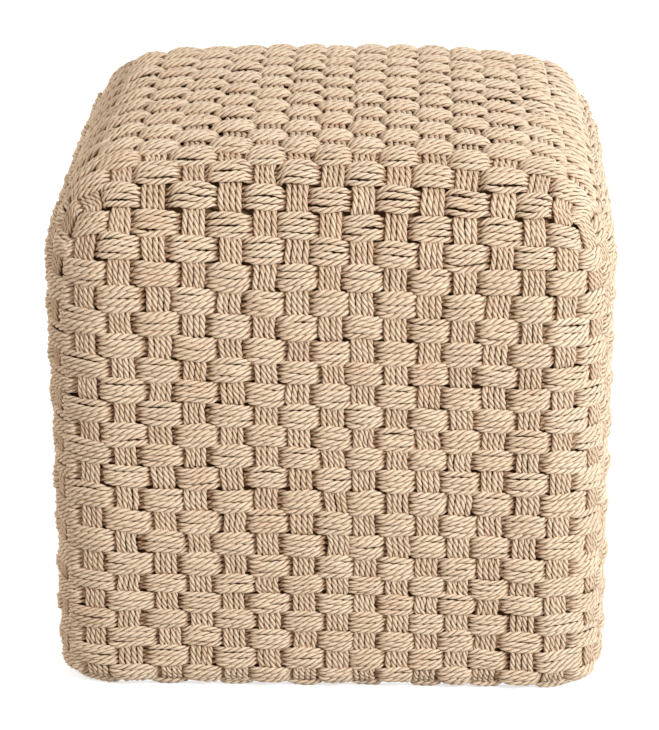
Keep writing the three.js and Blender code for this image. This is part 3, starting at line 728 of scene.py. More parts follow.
def top_lid(inset):
    share = np.linspace(-1, 1, RING_STEPS + 1)
    return on_top(share[:, None], share[None, :], inset)


def flat_lid(ring):
    """A grid that fills a ring at its own level."""
    share = np.linspace(-1, 1, RING_STEPS + 1) * np.abs(ring[:, 0]).max() * LID_SHARE
    x, y = np.meshgrid(share, share, indexing="ij")
    return np.stack([x, y, np.full_like(x, ring[:, 2].mean())], -1)


def lid_rim():
    """Which points of a lid's grid the ring round it has."""
    step = np.arange(RING_STEPS)
    side = RING_STEPS + 1
    return np.concatenate([step * side, RING_STEPS * side + step, (RING_STEPS - step) * side + RING_STEPS,
                           RING_STEPS - step])


def lid_quads(numbers, upward):
    grid = numbers.reshape(RING_STEPS + 1, RING_STEPS + 1)
    corners = [grid[:-1, :-1], grid[1:, :-1], grid[1:, 1:], grid[:-1, 1:]]
    quads = np.stack(corners, -1).reshape(-1, 4)
    return quads if upward else quads[:, ::-1]


def ringed_body(name, runs, lids=(), joined=False):
    """A closed mesh of runs of rings, with grids as lids. Joined: the last ring is joined to the first."""
    points, starts, total = [], [], 0
    for run in runs:
        starts.append([total + AROUND * row for row in range(len(run))])
        points += run
        total += AROUND * len(run)
    pairs = [pair for row in starts for pair in zip(row[:-1], row[1:])]
    if joined:
        pairs.append((starts[-1][-1], starts[0][0]))
    quads = [ring_quads(*zip(*pairs), AROUND)]
    for grid, (run, row), upward in lids:
        numbers = np.full((RING_STEPS + 1) ** 2, -1)
        numbers[lid_rim()] = starts[run][row] + np.arange(AROUND)
        inner = np.flatnonzero(numbers < 0)
        numbers[inner] = total + np.arange(len(inner))
        points.append(grid.reshape(-1, 3)[inner])
        total += len(inner)
        quads.append(lid_quads(numbers, upward))
    return roughened(mesh_object(name, np.concatenate(points), np.concatenate(quads)), *LUMPS[name])


def roughened(obj, size_mm, length_mm, seed):
    """Moves a mesh's points a little along their normals, in soft lumps."""
    mesh = obj.data
    rng = np.random.default_rng((SEED, seed))
    count = len(mesh.vertices)
    places, normals = np.empty(count * 3), np.empty(count * 3)
    mesh.vertices.foreach_get("co", places)
    mesh.vertices.foreach_get("normal", normals)
    places, normals = places.reshape(-1, 3), normals.reshape(-1, 3)
    lumps = np.zeros(count)
    for _ in range(LUMP_WAVES):
        way = rng.normal(size=3) * 2 * math.pi / (length_mm * MM)
        lumps += np.sin(places @ way + rng.uniform(0, 2 * math.pi))
    places += normals * (lumps / math.sqrt(LUMP_WAVES) * size_mm * MM)[:, None]
    mesh.vertices.foreach_set("co", places.ravel())
    mesh.update()
    return obj


LINING_INSET, LINING_THICKNESS, LINING_FLANGE = 10.9, 0.5, 10.0
LINER_INSET, LINER_THICKNESS, LINER_TURN, LINER_FLANGE = 11.7, 0.6, 4.0, 11.0
WADDING_INSET, WADDING_THICKNESS = 12.8, 11.8
CORE_INSET = 25.0
SLAB_ROUND, SLAB_MARGIN = 1.6, 6
WALL_ROWS, EDGE_ROWS, WADDING_ROWS, SLAB_ROWS = 60, 14, 50, 18
TURN_ROWS, FLANGE_ROWS, ROUND_ROWS = 6, 4, 4


def top_shell(name, rings_at, inset, thickness):
    """A body of some thickness that closes over the top. rings_at gives its rings at an inset."""
    runs = [rings_at(inset), rings_at(inset + thickness)[::-1]]
    lids = [(top_lid(inset), (0, -1), True), (top_lid(inset + thickness), (1, 0), False)]
    return ringed_body(name, runs, lids, joined=True)


def cover_lining():
    def rings_at(inset):
        foot = edge_rings(FLOOR_LINE - LINING_FLANGE, -1, inset, EDGE_ROWS)
        return foot + edge_rings(0, MITRE, inset, WALL_ROWS)
    return top_shell("lining", rings_at, LINING_INSET, LINING_THICKNESS)


def inner_liner(foot_level):
    def rings_at(inset):
        depth = inset - LINER_INSET
        turned = [level_ring(foot_level + LINER_TURN - (LINER_TURN - depth) * math.sin(angle),
                             LINER_INSET + LINER_TURN - (LINER_TURN - depth) * math.cos(angle))
                  for angle in np.linspace(math.pi / 2, 0, TURN_ROWS)]
        flange = [level_ring(foot_level + depth, LINER_INSET + LINER_TURN + reach)
                  for reach in np.linspace(LINER_FLANGE, 0, FLANGE_ROWS)[:-1]]
        return flange + turned + edge_rings(0, MITRE, inset, WALL_ROWS)
    return top_shell("liner_bag", rings_at, LINER_INSET, LINER_THICKNESS)


def wadding_wrap(low, high):
    outer = [level_ring(level, WADDING_INSET) for level in np.linspace(low, high, WADDING_ROWS)]
    inner = [level_ring(level, WADDING_INSET + WADDING_THICKNESS)
             for level in np.linspace(high, low, WADDING_ROWS)]
    return ringed_body("wadding_sides", [outer + inner], joined=True)


def wadding_top(low):
    def rings_at(inset):
        return edge_rings(low - FLOOR_EDGE, MITRE, inset, EDGE_ROWS)
    return top_shell("wadding_over_pad", rings_at, WADDING_INSET, WADDING_THICKNESS)


def crown_pad(low):
    rings = edge_rings(low - FLOOR_EDGE, MITRE, CORE_INSET, EDGE_ROWS)
    lids = [(top_lid(CORE_INSET), (0, -1), True), (flat_lid(rings[0]), (0, 0), False)]
    return ringed_body("crown_foam", [rings], lids)


def core_slab(number, low, high):
    """A block of firm foam with its cut edges a little rounded."""
    angles = np.linspace(0, math.pi / 2, ROUND_ROWS)
    turn = [SLAB_ROUND * (1 - math.cos(angle)) for angle in angles]
    lift = [SLAB_ROUND * (1 - math.sin(angle)) for angle in angles]
    foot = [level_ring(low + rise, CORE_INSET + inset) for rise, inset in zip(lift[::-1], turn[::-1])]
    middle = [level_ring(level, CORE_INSET)
              for level in np.linspace(low + SLAB_MARGIN, high - SLAB_MARGIN, SLAB_ROWS)]
    head = [level_ring(high - rise, CORE_INSET + inset) for rise, inset in zip(lift, turn)]
    rings = foot + middle + head
    lids = [(flat_lid(rings[-1]), (0, -1), True), (flat_lid(rings[0]), (0, 0), False)]
    return ringed_body(f"foam_slab_{number}", [rings], lids)


# Flat plates: the base's cloths and the zip's tapes, with their holes, hems and stitches

PLATE_STEP = 3.2
HOLE_STEPS = 28
SEAM_CLEAR = 1


def evened(loop, step=PLATE_STEP):
    """A closed line with no stretch longer than step."""
    points = []
    for here, there in zip(loop, np.roll(loop, -1, 0)):
        count = max(1, math.ceil(np.linalg.norm(there - here) / step))
        points += [here + (there - here) * share for share in np.arange(count) / count]
    return np.array(points)


def round_hole(x, y, radius):
    angle = np.linspace(0, 2 * math.pi, HOLE_STEPS, endpoint=False)
    return np.stack([x + radius * np.cos(angle), y + radius * np.sin(angle)], -1)


def within(points, loop):
    """Which points lie inside a closed line."""
    x, y = points[:, 0], points[:, 1]
    inside = np.zeros(len(points), bool)
    for (x0, y0), (x1, y1) in zip(loop, np.roll(loop, -1, 0)):
        if y0 != y1:
            crosses = (y0 > y) != (y1 > y)
            inside ^= crosses & (x < (x1 - x0) * (y - y0) / (y1 - y0) + x0)
    return inside


def plate(name, outline, holes, low, high, sunk):
    """A thin plate between two levels. sunk gives how far its lower face hangs below the lower level."""
    loops = [evened(outline)] + list(holes)
    grid_x = np.arange(outline[:, 0].min(), outline[:, 0].max(), PLATE_STEP)
    grid_y = np.arange(outline[:, 1].min(), outline[:, 1].max(), PLATE_STEP)
    grid = np.stack(np.meshgrid(grid_x, grid_y), -1).reshape(-1, 2)
    for loop in loops:
        gaps = np.abs(grid[:, None] - loop[None]).max(-1).min(1)
        grid = grid[gaps > PLATE_STEP * 0.5]
    points = np.concatenate(loops + [grid])
    edges, start = [], 0
    for loop in loops:
        edges += [(start + i, start + (i + 1) % len(loop)) for i in range(len(loop))]
        start += len(loop)
    made = delaunay_2d_cdt([Vector(point) for point in points], edges, [], 0, 1e-5)
    places = np.array([tuple(point) for point in made[0]])
    triangles = np.array(made[2])
    middles = places[triangles].mean(1)
    keep = within(middles, loops[0])
    for hole in holes:
        keep &= ~within(middles, hole)
    return thickened(name, places, triangles[keep], low, high, sunk)


def thickened(name, places, triangles, low, high, sunk):
    """Two faces on the same triangles, joined round every edge that only one triangle has."""
    first, second, third = np.moveaxis(places[triangles], 1, 0)
    turn = np.cross(second - first, third - first)
    triangles[turn < 0] = triangles[turn < 0][:, ::-1]
    used, back = np.unique(triangles, return_inverse=True)
    places, triangles = places[used], back.reshape(-1, 3)
    count = len(places)
    hang = sunk(places[:, 0], places[:, 1])
    upper = np.column_stack([places, np.full(count, high)])
    lower = np.column_stack([places, low - hang])
    sides = np.concatenate([triangles[:, [0, 1]], triangles[:, [1, 2]], triangles[:, [2, 0]]])
    known = {tuple(side) for side in sides}
    rim = np.array([side for side in sides if (side[1], side[0]) not in known])
    quads = np.stack([rim[:, 0] + count, rim[:, 1] + count, rim[:, 1], rim[:, 0]], -1)
    return mesh_object(name, np.concatenate([upper, lower]), quads, list(triangles) +
                       list(triangles[:, ::-1] + count))


def half_outline(level, inset, edge, notch_half, notch_edge):
    """The front half of the base's outline, with a notch along the zip."""
    ring = level_ring(level, inset)[:, :2]
    faces = np.split(ring, 4)
    right, left = [face[face[:, 1] < -edge - SEAM_CLEAR] for face in (faces[1], faces[3])]
    reach = np.abs(ring[:, 0]).max()
    straight = [(reach, -edge), (notch_half, -edge), (notch_half, -notch_edge), (-notch_half, -notch_edge),
                (-notch_half, -edge), (-reach, -edge)]
    return np.concatenate([left, faces[0], right, np.array(straight)])


def to_rear(loop):
    return (loop * np.array([1, -1]))[::-1]


CANVAS_INSET = 18.9
BINDING_OUTER, BINDING_INNER = 30.0, 51.5
SLOT_HALF_LENGTH, SLOT_HALF, SLOT_HEM, SLOT_END = 144.6, 6.5, 9.0, 8
TAPE_NEAR, TAPE_FAR, TAPE_REACH = 3.2, 15.0, 158.6
HALF_GAP, FELT_GAP, FELT_NOTCH_GAP, TAPE_EDGE = 0.15, 0.3, 0.6, 1.6
EYELET_PLACE, EYELET_HOLE, FELT_HOLE, PANEL_HOLE = 105.0, 6.0, 9.3, 5.0
PANEL_MARGIN, PINKING_STEP, PINKING_DEPTH = 0.6, 2.2, 0.006
STITCH_PITCH, STITCH_LENGTH, THREAD_RADIUS = 3.4, 2.7, 0.3
STITCH_RINGS, STITCH_SIDES, STITCH_BEND, STITCH_DIP = 6, 6, 1.5, 0.7
HEM_STITCHES, HEM_ROW_SHORTER, HEM_DROP = (1.8, SLOT_HEM - 1.4), 2, 0.2
BINDING_STITCHES, BINDING_DROP = 2.2, 0.1


def stitches(name, line, level):
    """A row of sewn stitches along an open line, as short bent tubes that dip in at both ends."""
    reach = np.concatenate([[0], np.cumsum(np.linalg.norm(np.diff(line, axis=0), axis=1))])
    share = np.linspace(0, 1, STITCH_RINGS)
    angle = np.linspace(0, 2 * math.pi, STITCH_SIDES, endpoint=False)
    z = level - THREAD_RADIUS * (STITCH_BEND * np.sin(math.pi * share) - STITCH_DIP)
    points, quads, caps = [], [], []
    for number, start in enumerate(np.arange(0, reach[-1] - STITCH_LENGTH, STITCH_PITCH)):
        s = start + share * STITCH_LENGTH
        x, y = np.interp(s, reach, line[:, 0]), np.interp(s, reach, line[:, 1])
        way = unit(np.array([x[-1] - x[0], y[-1] - y[0]]))
        tube = [x[:, None] - way[1] * THREAD_RADIUS * np.cos(angle),
                y[:, None] + way[0] * THREAD_RADIUS * np.cos(angle),
                z[:, None] + THREAD_RADIUS * np.sin(angle)]
        points.append(np.stack(tube, -1).reshape(-1, 3))
        rows = (number * STITCH_RINGS + np.arange(STITCH_RINGS)) * STITCH_SIDES
        quads.append(ring_quads(rows[:-1], rows[1:], STITCH_SIDES))
        caps += [rows[0] + np.arange(STITCH_SIDES)[::-1], rows[-1] + np.arange(STITCH_SIDES)]
    return mesh_object(name, np.concatenate(points), np.concatenate(quads), caps)


def canvas_sag(x, y):
    """Soft waves, and the doubled cloth of the hem beside the zip."""
    waves = 0.05 * (np.sin(x / 17 + 1) * np.sin(y / 23) + 1)
    beside = (np.abs(y) < SLOT_HALF + SLOT_HEM) & (np.abs(x) < SLOT_HALF_LENGTH - SLOT_END)
    return waves + 0.1 * beside


def felt_sag(x, y):
    """Small dents."""
    return 0.06 * (np.sin(x * 0.9) * np.sin(y * 0.8) - 1)


def tape_sag(x, y):
    """The thick edge that holds the teeth."""
    return 0.18 * (np.abs(y) < TAPE_NEAR + TAPE_EDGE)


def binding_sag(x, y):
    return 0.05 * np.sin(x + y)


def no_sag(x, y):
    return 0 * x


def levels(node):
    """The lowest and highest level of one of the record's nodes."""
    low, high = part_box(node)
    return low.z / MM, high.z / MM


def base_halves(rear):
    """Canvas, felt and zip tape of one half of the base, and the stitches that show on it."""
    side, sign = ("rear", 1) if rear else ("front", -1)
    mirrored = to_rear if rear else (lambda loop: loop)
    level = levels(f"base_canvas_{side}")[0]
    canvas = half_outline(level, CANVAS_INSET, HALF_GAP, SLOT_HALF_LENGTH, SLOT_HALF)
    felt = half_outline(level, CANVAS_INSET, TAPE_FAR + FELT_GAP, SLOT_HALF_LENGTH, TAPE_FAR + FELT_NOTCH_GAP)
    tape = np.array([(-TAPE_REACH, -TAPE_FAR), (TAPE_REACH, -TAPE_FAR), (TAPE_REACH, -TAPE_NEAR),
                     (-TAPE_REACH, -TAPE_NEAR)])
    made = []
    for name, node, slot, outline, radii, sag in (
            ("canvas", "base_canvas", "canvas", canvas, [EYELET_HOLE] * 2, canvas_sag),
            ("felt", "base_felt", "felt", felt, [FELT_HOLE] * 2, felt_sag),
            ("tape", "zip_tape", "zip_tape", tape, [], tape_sag)):
        holes = [mirrored(round_hole(x, -EYELET_PLACE, radius))
                 for x, radius in zip((-EYELET_PLACE, EYELET_PLACE), radii)]
        cloth = plate(f"{name}_{side}", mirrored(outline), holes, *levels(f"{node}_{side}"), sag)
        made.append((cloth, f"{node}_{side}", slot))
    for number, gap in enumerate(HEM_STITCHES):
        reach = SLOT_HALF_LENGTH - SLOT_END - HEM_ROW_SHORTER * number
        line = np.array([(-reach, sign * (SLOT_HALF + gap)), (reach, sign * (SLOT_HALF + gap))])
        thread = stitches(f"canvas_stitches_{side}_{number + 1}", line, level - HEM_DROP)
        made.append((thread, f"base_canvas_{side}", "canvas"))
    return made


def hem_binding(low, high):
    """The tape over the cut ends of the cords, and the stitches near its inner edge."""
    outline = level_ring(low, BINDING_OUTER)[:, :2]
    inner = evened(level_ring(low, BINDING_INNER)[:, :2])[::-1]
    tape = plate("binding", outline, [inner], low, high, binding_sag)
    ring = level_ring(low, BINDING_INNER - BINDING_STITCHES)[:, :2]
    thread = stitches("binding_stitches", np.concatenate([ring, ring[:1]]), low - BINDING_DROP)
    return [(piece, "hem_binding", "binding_tape") for piece in (tape, thread)]


def liner_panel(low, high):
    """The liner's base panel, cut with pinking shears."""
    edge = level_ring(low, LINER_INSET + LINER_TURN + LINER_FLANGE + PANEL_MARGIN)[:, :2]
    ring = evened(edge, PINKING_STEP)
    teeth = 1 - PINKING_DEPTH * (np.arange(len(ring)) % 2)
    holes = [round_hole(x, y, PANEL_HOLE) for x in (-EYELET_PLACE, EYELET_PLACE)
             for y in (-EYELET_PLACE, EYELET_PLACE)]
    return plate("liner_panel", ring * teeth[:, None], holes, low, high, no_sag)


def soft_pieces():
    """Every soft piece behind the weave and in the base: the object, the node it stands for and its slot."""
    made = [(cover_lining(), "cover_lining", "lining_cloth"),
            (inner_liner(levels("inner_liner")[0]), "inner_liner", "liner_cloth"),
            (liner_panel(*levels("liner_base_panel")), "liner_base_panel", "liner_cloth"),
            (wadding_wrap(*levels("wadding_wrap")), "wadding_wrap", "wadding"),
            (wadding_top(levels("wadding_top")[0]), "wadding_top", "wadding"),
            (crown_pad(levels("crown_pad")[0]), "crown_pad", "soft_foam")]
    for number in (1, 2, 3):
        made.append((core_slab(number, *levels(f"core_slab_{number}")), f"core_slab_{number}", "firm_foam"))
    return made + hem_binding(*levels("hem_binding")) + base_halves(False) + base_halves(True)


# Materials

class Nodes:
    """Short calls for the nodes of a material or world."""

    def __init__(self, owner):
        owner.use_nodes = True
        self.owner = owner
        self.tree = owner.node_tree
        self.shader = self.tree.nodes.get("Principled BSDF")

    def link(self, source, target):
        self.tree.links.new(source, target)

    def give(self, node, **values):
        """Sets or links a node's sockets. A low line in a socket's name stands for a space."""
        for key, value in values.items():
            self.feed(node.inputs[key.replace("_", " ")], value)

    def feed(self, socket, value):
        if isinstance(value, (int, float, tuple)):
            socket.default_value = value
        else:
            self.link(value, socket)

    def add(self, kind, **settings):
        """A new node. Names that start with a capital are its sockets, the others its own settings."""
        node = self.tree.nodes.new(kind)
        for key, value in settings.items():
            if key[0].isupper():
                self.give(node, **{key: value})
            else:
                setattr(node, key, value)
        return node

    def attribute(self, name):
        return self.add("ShaderNodeAttribute", attribute_name=name).outputs["Fac"]

    def place(self):
        """The place on the piece, in metres."""
        return self.add("ShaderNodeTexCoord").outputs["Object"]

    def split(self, vector):
        return self.add("ShaderNodeSeparateXYZ", Vector=vector).outputs

    def math(self, operation, a, b=0.0):
        node = self.add("ShaderNodeMath", operation=operation)
        self.feed(node.inputs[0], a)
        self.feed(node.inputs[1], b)
        return node.outputs[0]

    def span(self, value, low, high, to_low, to_high):
        return self.add("ShaderNodeMapRange", Value=value, From_Min=low, From_Max=high, To_Min=to_low,
                        To_Max=to_high).outputs["Result"]

    def mix(self, fac, a, b):
        return self.add("ShaderNodeMix", data_type="RGBA", Factor=fac, A=a, B=b).outputs["Result"]

    def tint(self, base, mask, low, high, share, tone):
        """Mixes a colour in: none of it where the mask is low, and a share of it where it is high."""
        return self.mix(self.span(mask, low, high, 0, share), base, tone)

    def noise(self, vector, scale, detail=3.0, roughness=0.5, stretch=(1.0, 1.0, 1.0)):
        place = self.add("ShaderNodeMapping", Vector=vector, Scale=stretch).outputs["Vector"]
        return self.add("ShaderNodeTexNoise", Vector=place, Scale=scale, Detail=detail,
                        Roughness=roughness).outputs["Fac"]

    def fine_noise(self, scale, detail=4.0, roughness=0.6, stretch=(1.0, 1.0, 1.0)):
        """Noise in the object's own place, in waves per metre."""
        return self.noise(self.place(), scale, detail, roughness, stretch)

    def sine(self, way, per_metre):
        return self.math("SINE", self.math("MULTIPLY", way, 2 * math.pi * per_metre))

    def bumped(self, height, strength, distance):
        bump = self.add("ShaderNodeBump", Height=height, Strength=strength, Distance=distance)
        return bump.outputs["Normal"]

    def cloth(self, base, height, distance, roughness, sheen, gloss=0.2):
        """Finishes a material: its colour and surface, and a relief whose depth is in metres."""
        self.give(self.shader, Base_Color=base, Roughness=roughness, Specular_IOR_Level=gloss,
                  Sheen_Weight=sheen, Normal=self.bumped(height, 0.8, distance))
        return self.owner


def material_nodes(name):
    return Nodes(bpy.data.materials.new(name))


def colour(red, green, blue):
    """A colour written as 0 to 255 in sRGB."""
    def linear(c):
        c /= 255
        return c / 12.92 if c <= 0.04045 else ((c + 0.055) / 1.055) ** 2.4
    return (linear(red), linear(green), linear(blue), 1.0)


def cord_material():
    """Matt plied cord: fibres along each ply, painted shade in grooves and hollows, a little tone from float
    to float.
    """
    n = material_nodes("cord")
    plies = n.add("ShaderNodeUVMap", uv_map="plies").outputs["UV"]
    streak = n.noise(plies, 2.2, 4.0, 0.6, (0.55, 5.0, 1.0))
    patch = n.noise(plies, 1.0, 2.0, 0.5, (0.35, 0.6, 1.0))
    hue = n.span(n.attribute("hue"), -1.6, 1.6, 0, 1)
    base = n.mix(hue, colour(238, 212, 184), colour(234, 215, 190))
    base = n.tint(base, n.attribute("tone"), -1.5, 2.0, 1, colour(247, 228, 202))
    base = n.tint(base, patch, 0.35, 0.75, 0.35, colour(220, 190, 158))
    base = n.mix(n.span(streak, 0.35, 0.7, 0.35, 0), base, colour(192, 154, 116))
    # Painted shade: the grooves between plies are coloured dark brown in broken dashes. Faces that look up
    # get less of it, as if lit from above.
    groove = n.span(n.attribute("groove"), 0.36, 0.9, 0, 1)
    broken = n.span(n.noise(plies, 1.3, 3.0, 0.5, (1.6, 1.0, 1.0)), 0.36, 0.6, 0.5, 1.0)
    upward = n.split(n.add("ShaderNodeNewGeometry").outputs["Normal"])[2]
    less_shade_facing_up = n.span(upward, 0.35, 0.9, 1.0, 0.62)
    dark = n.math("MULTIPLY", n.math("MULTIPLY", groove, broken), less_shade_facing_up)
    base = n.mix(dark, base, colour(92, 52, 24))
    # Painted shade: the deeper a point lies below the weave's outer face, the darker brown it is coloured.
    base = n.tint(base, n.attribute("depth"), 1.8, 6.8, 0.76, colour(146, 94, 44))
    n.give(n.shader, Base_Color=base, Roughness=n.span(streak, 0.2, 0.8, 0.95, 0.8), Specular_IOR_Level=0.25,
           Sheen_Weight=0.08, Normal=n.bumped(streak, 0.6, 0.0004))
    return n.owner


def woven_cloth(name, dark, light, threads_per_metre, flat):
    """Plain weave. On a flat plate its threads lie along X and Y, and on a shell along the walls."""
    n = material_nodes(name)
    x, y, z = n.split(n.place())
    along = x if flat else n.math("ADD", x, y)
    up = y if flat else n.math("ADD", z, n.math("SUBTRACT", y, x))
    waves = [n.sine(way, threads_per_metre / 2) for way in (along, up)]
    weave = n.span(n.math("MULTIPLY", *waves), -1, 1, 0, 1)
    slub = n.fine_noise(260, 3.0, 0.6, (1.0, 6.0, 6.0))
    base = n.mix(n.span(weave, 0.1, 0.9, 0, 1), dark, light)
    base = n.tint(base, slub, 0.4, 0.75, 0.45, dark)
    base = n.tint(base, n.fine_noise(14, 2.0), 0.4, 0.7, 0.3, dark)
    return n.cloth(base, n.math("ADD", weave, n.math("MULTIPLY", slub, 0.4)), 0.0003, 0.92, 0.06)


def ribbed_tape(name, dark, light, ribs_per_metre, along_x):
    """Grosgrain or zip tape: fine ribs across it, with a fleck."""
    n = material_nodes(name)
    x, y, _ = n.split(n.place())
    ribs = n.span(n.sine(x if along_x else n.math("ADD", x, y), ribs_per_metre), -1, 1, 0, 1)
    across = n.span(n.sine(y, 1400), -1, 1, 0, 1)
    base = n.tint(n.mix(ribs, dark, light), n.fine_noise(500), 0.35, 0.7, 0.4, dark)
    return n.cloth(base, n.math("ADD", ribs, n.math("MULTIPLY", across, 0.4)), 0.0002, 0.85, 0.1)


def felt_material():
    n = material_nodes("felt")
    fibres = n.fine_noise(900, 6.0, 0.75, (1.0, 0.35, 1.0))
    base = n.mix(n.span(fibres, 0.3, 0.7, 0, 1), colour(92, 88, 82), colour(146, 140, 130))
    base = n.tint(base, n.fine_noise(60, 3.0), 0.4, 0.7, 0.4, colour(104, 94, 82))
    return n.cloth(base, fibres, 0.0006, 0.96, 0.25)


def spunbond():
    """Non-woven liner cloth: a lattice of small pressed dots among fine fibres."""
    n = material_nodes("liner_cloth")
    dots = n.add("ShaderNodeTexVoronoi", Vector=n.place(), Scale=620.0, Randomness=0.15)
    pressed = n.span(dots.outputs["Distance"], 0.18, 0.34, 0, 1)
    fibres = n.fine_noise(1500, 5.0, 0.7, (1.0, 1.0, 0.3))
    base = n.mix(pressed, colour(206, 203, 194), colour(236, 234, 227))
    base = n.tint(base, fibres, 0.4, 0.75, 0.4, colour(216, 212, 202))
    return n.cloth(base, n.math("ADD", pressed, fibres), 0.0002, 0.8, 0.1)


def foam(name, pale, deep, pores_per_metre):
    """Open-cell foam: many small pores of uneven size."""
    n = material_nodes(name)
    cells = n.add("ShaderNodeTexVoronoi", Vector=n.place(), Scale=pores_per_metre)
    wall = n.span(cells.outputs["Distance"], 0.2, 0.75, 0, 1)
    base = n.tint(n.mix(wall, deep, pale), n.fine_noise(25, 3.0), 0.4, 0.7, 0.3, deep)
    return n.cloth(base, wall, 0.0005, 0.95, 0.05)


def wadding_material():
    n = material_nodes("wadding")
    fibres = n.fine_noise(420, 7.0, 0.78, (1.0, 1.0, 0.4))
    tufts = n.fine_noise(45, 3.0)
    base = n.mix(n.span(fibres, 0.3, 0.7, 0, 1), colour(214, 212, 206), colour(247, 246, 242))
    base = n.tint(base, tufts, 0.4, 0.7, 0.35, colour(226, 223, 214))
    return n.cloth(base, n.math("ADD", fibres, tufts), 0.0012, 0.98, 0.35)


def moulded_plastic():
    """The zip's teeth and stops: satin, with a slight mould texture and paler rubbed places."""
    n = material_nodes("tooth_plastic")
    base = n.tint(colour(140, 116, 84), n.fine_noise(160, 3.0), 0.4, 0.7, 0.6, colour(176, 152, 118))
    return n.cloth(base, n.fine_noise(2600, 3.0), 0.00004, 0.42, 0.0, gloss=0.5)


def plated_zinc():
    """Nickel-plated casting: satin, with fine rubbing marks and dull spots."""
    n = material_nodes("zinc")
    marks = n.fine_noise(900, 4.0, 0.65, (0.12, 1.0, 1.0))
    base = n.tint(colour(206, 198, 184), n.fine_noise(240, 3.0), 0.4, 0.72, 0.5, colour(158, 149, 135))
    n.give(n.shader, Base_Color=base, Metallic=1.0, Roughness=n.span(marks, 0.3, 0.7, 0.24, 0.46),
           Normal=n.bumped(marks, 0.35, 0.00005))
    return n.owner


def twin_wall_board():
    """Twin-wall plastic sheet: flutes 4 mm apart show as soft bands under a satin skin."""
    n = material_nodes("board_plastic")
    flutes = n.span(n.sine(n.split(n.place())[0], 250), 0.2, 1, 0, 1)
    scuffs = n.fine_noise(120, 4.0, 0.6, (0.2, 1.0, 1.0))
    base = n.mix(flutes, colour(74, 72, 68), colour(96, 93, 88))
    base = n.tint(base, scuffs, 0.5, 0.75, 0.4, colour(122, 118, 110))
    height = n.math("ADD", flutes, n.math("MULTIPLY", scuffs, 0.3))
    return n.cloth(base, height, 0.0002, 0.48, 0.0, gloss=0.45)


def sewing_thread():
    """Pale spun thread with a fine twist."""
    n = material_nodes("sewing_thread")
    twist = n.fine_noise(700, 2.0, 0.5, (1.0, 0.3, 1.0))
    fuzz = n.span(n.fine_noise(1800, 3.0), 0.3, 0.7, 0, 1)
    base = n.mix(fuzz, colour(206, 188, 158), colour(232, 217, 190))
    base = n.tint(base, twist, 0.4, 0.7, 0.4, colour(178, 156, 122))
    return n.cloth(base, twist, 0.0001, 0.7, 0.1)


def all_materials():
    """One material for each of the record's slots."""
    return {
        "cord": cord_material(),
        "lining_cloth": woven_cloth("lining_cloth", colour(104, 74, 46), colour(150, 118, 82), 900, False),
        "canvas": woven_cloth("canvas", colour(142, 120, 92), colour(204, 184, 154), 1300, True),
        "binding_tape": ribbed_tape("binding_tape", colour(138, 114, 86), colour(192, 168, 136), 700, False),
        "zip_tape": ribbed_tape("zip_tape", colour(120, 98, 72), colour(170, 146, 114), 900, True),
        "felt": felt_material(),
        "tooth_plastic": moulded_plastic(),
        "zinc": plated_zinc(),
        "liner_cloth": spunbond(),
        "board_plastic": twin_wall_board(),
        "firm_foam": foam("firm_foam", colour(226, 221, 205), colour(186, 179, 158), 700),
        "soft_foam": foam("soft_foam", colour(238, 234, 220), colour(204, 198, 180), 520),
        "wadding": wadding_material(),
    }


# Camera, floor and light

PHOTO_SIZE = (659, 730)
OBJECT_CENTRE_PIXEL = (336.6, 340.1)
VIEW_ELEVATION = 17.43
VIEW_AZIMUTH = 1.525
VIEW_DISTANCE = 3.1765
FOCAL_PIXELS = 3745.7
SENSOR = 36.0
FLOOR_REACH, FLOOR_OPENING = 30.0, 1.004
FLOOR_GREY, FLOOR_WHITENESS = (0.6, 0.6, 0.6, 1), 0.7
WORLD_STRENGTH = 0.485
LAMP_TARGET = Vector((0, 0, 0.25))

# The lamps: name, place and size in metres, power and tint
LAMPS = (("key", (1.9, -2.0, 1.6), 0.55, 67, (1, 1, 1)),
         ("fill", (-2.3, -1.5, 1.1), 1.4, 12, (1, 0.77, 0.54)),
         ("side", (2.6, -0.9, 0.9), 1.0, 16, (0.6, 0.88, 1)),
         ("rear_left", (-1.8, 2.2, 0.95), 0.7, 40, (1, 0.93, 0.84)),
         ("rear_right", (2.4, 1.5, 0.9), 1.0, 12, (1, 1, 1)))


def aimed(name, data, place, way):
    """Puts a camera or lamp at a place, so that it looks along a way."""
    obj = bpy.data.objects.new(name, data)
    obj.matrix_world = Matrix.Translation(place) @ way.to_track_quat("-Z", "Y").to_matrix().to_4x4()
    bpy.context.scene.collection.objects.link(obj)
    return obj


def make_camera():
    """The camera of the photograph, aimed a little off so that the object lies where it does there."""
    elevation, azimuth = math.radians(VIEW_ELEVATION), math.radians(VIEW_AZIMUTH)
    back = Vector((math.sin(azimuth) * math.cos(elevation), -math.cos(azimuth) * math.cos(elevation),
                   math.sin(elevation)))
    place = Vector((0, 0, HEIGHT / 2 * MM)) + back * VIEW_DISTANCE
    right = (-back).cross(Vector((0, 0, 1))).normalized()
    up = right.cross(-back)
    aside = (PHOTO_SIZE[0] / 2 - OBJECT_CENTRE_PIXEL[0]) / FOCAL_PIXELS
    above = -(PHOTO_SIZE[1] / 2 - OBJECT_CENTRE_PIXEL[1]) / FOCAL_PIXELS
    data = bpy.data.cameras.new("camera")
    data.sensor_width = SENSOR
    data.lens = FOCAL_PIXELS * SENSOR / max(PHOTO_SIZE)
    look = (-back + right * aside + up * above).normalized()
    bpy.context.scene.camera = aimed("camera", data, place, look)


def seen(n):
    """1 for what the camera, a gloss or a glass sees, and 0 for the light on other things."""
    rays = n.add("ShaderNodeLightPath").outputs
    either = n.math("MAXIMUM", rays["Is Camera Ray"], rays["Is Glossy Ray"])
    return n.math("MAXIMUM", either, rays["Is Transmission Ray"])


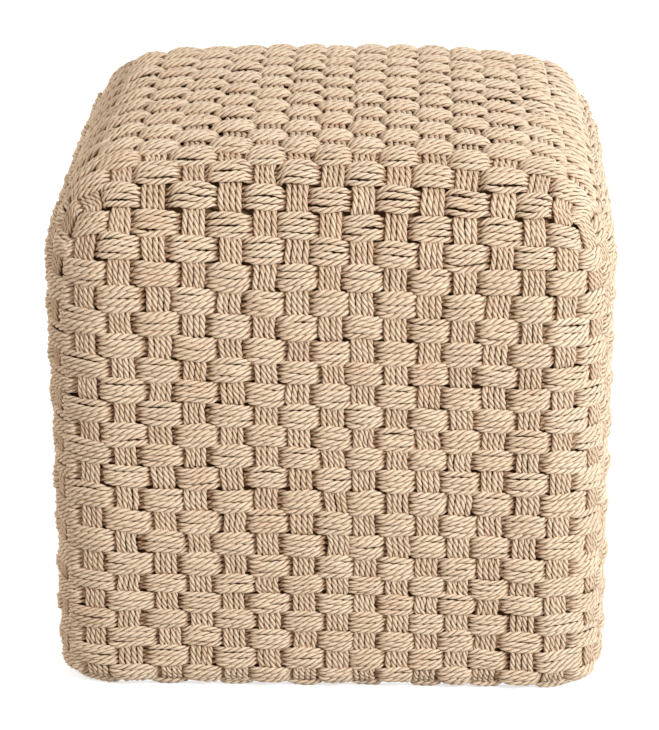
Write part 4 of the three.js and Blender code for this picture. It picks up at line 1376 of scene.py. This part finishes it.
def make_floor():
    """A pale floor, open under the object so that its base can be seen from below."""
    opening = wall_ring(FLOOR_LINE, 0.0) * FLOOR_OPENING
    opening[:, 2] = 0
    quads = ring_quads([0], [len(opening)], len(opening))
    floor = mesh_object("floor", np.concatenate([opening * FLOOR_REACH, opening]), quads, smooth=False)
    n = material_nodes("floor")
    n.give(n.shader, Base_Color=FLOOR_GREY, Roughness=1.0, Specular_IOR_Level=0.0)
    whiteness = n.math("MULTIPLY", seen(n), FLOOR_WHITENESS)
    white = n.add("ShaderNodeEmission", Color=(1, 1, 1, 1), Strength=whiteness)
    lit = n.add("ShaderNodeAddShader")
    n.link(n.shader.outputs[0], lit.inputs[0])
    n.link(white.outputs[0], lit.inputs[1])
    sides = n.add("ShaderNodeMixShader")
    n.link(n.add("ShaderNodeNewGeometry").outputs["Backfacing"], sides.inputs[0])
    n.link(lit.outputs[0], sides.inputs[1])
    n.link(n.add("ShaderNodeBsdfTransparent").outputs[0], sides.inputs[2])
    n.link(sides.outputs[0], n.tree.nodes["Material Output"].inputs["Surface"])
    floor.data.materials.append(n.owner)


def make_world():
    """White where it is seen, and a softer light on the object."""
    world = bpy.data.worlds.new("studio")
    bpy.context.scene.world = world
    n = Nodes(world)
    strength = n.span(seen(n), 0, 1, WORLD_STRENGTH, 1.0)
    n.give(n.tree.nodes["Background"], Color=(1, 1, 1, 1), Strength=strength)


def make_lamp(name, place, size, power, tint):
    data = bpy.data.lights.new(name, "AREA")
    data.shape = "DISK"
    data.size = size
    data.energy = power
    data.color = tint
    aimed(name, data, place, LAMP_TARGET - Vector(place))


# The scene

bpy.context.scene.view_settings.view_transform = "Standard"
make_camera()
make_floor()
make_world()
for lamp in LAMPS:
    make_lamp(*lamp)

materials = all_materials()
thread = sewing_thread()
pieces = [(bundle, "woven_cover", "cord") for bundle in weave_cover()] + soft_pieces()
for piece, node, slot in pieces:
    piece.data.materials.append(thread if "stitches" in piece.name else materials[slot])
    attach(piece, "pouf")
    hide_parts(node)

replaced = {node for _, node, _ in pieces}
for subpart in frame["record"]["subparts"]:
    if subpart["node"] not in replaced:
        kept = frame["nodes"][subpart["node"]].data.materials
        kept.clear()
        kept.append(materials[subpart["material_slot"]])
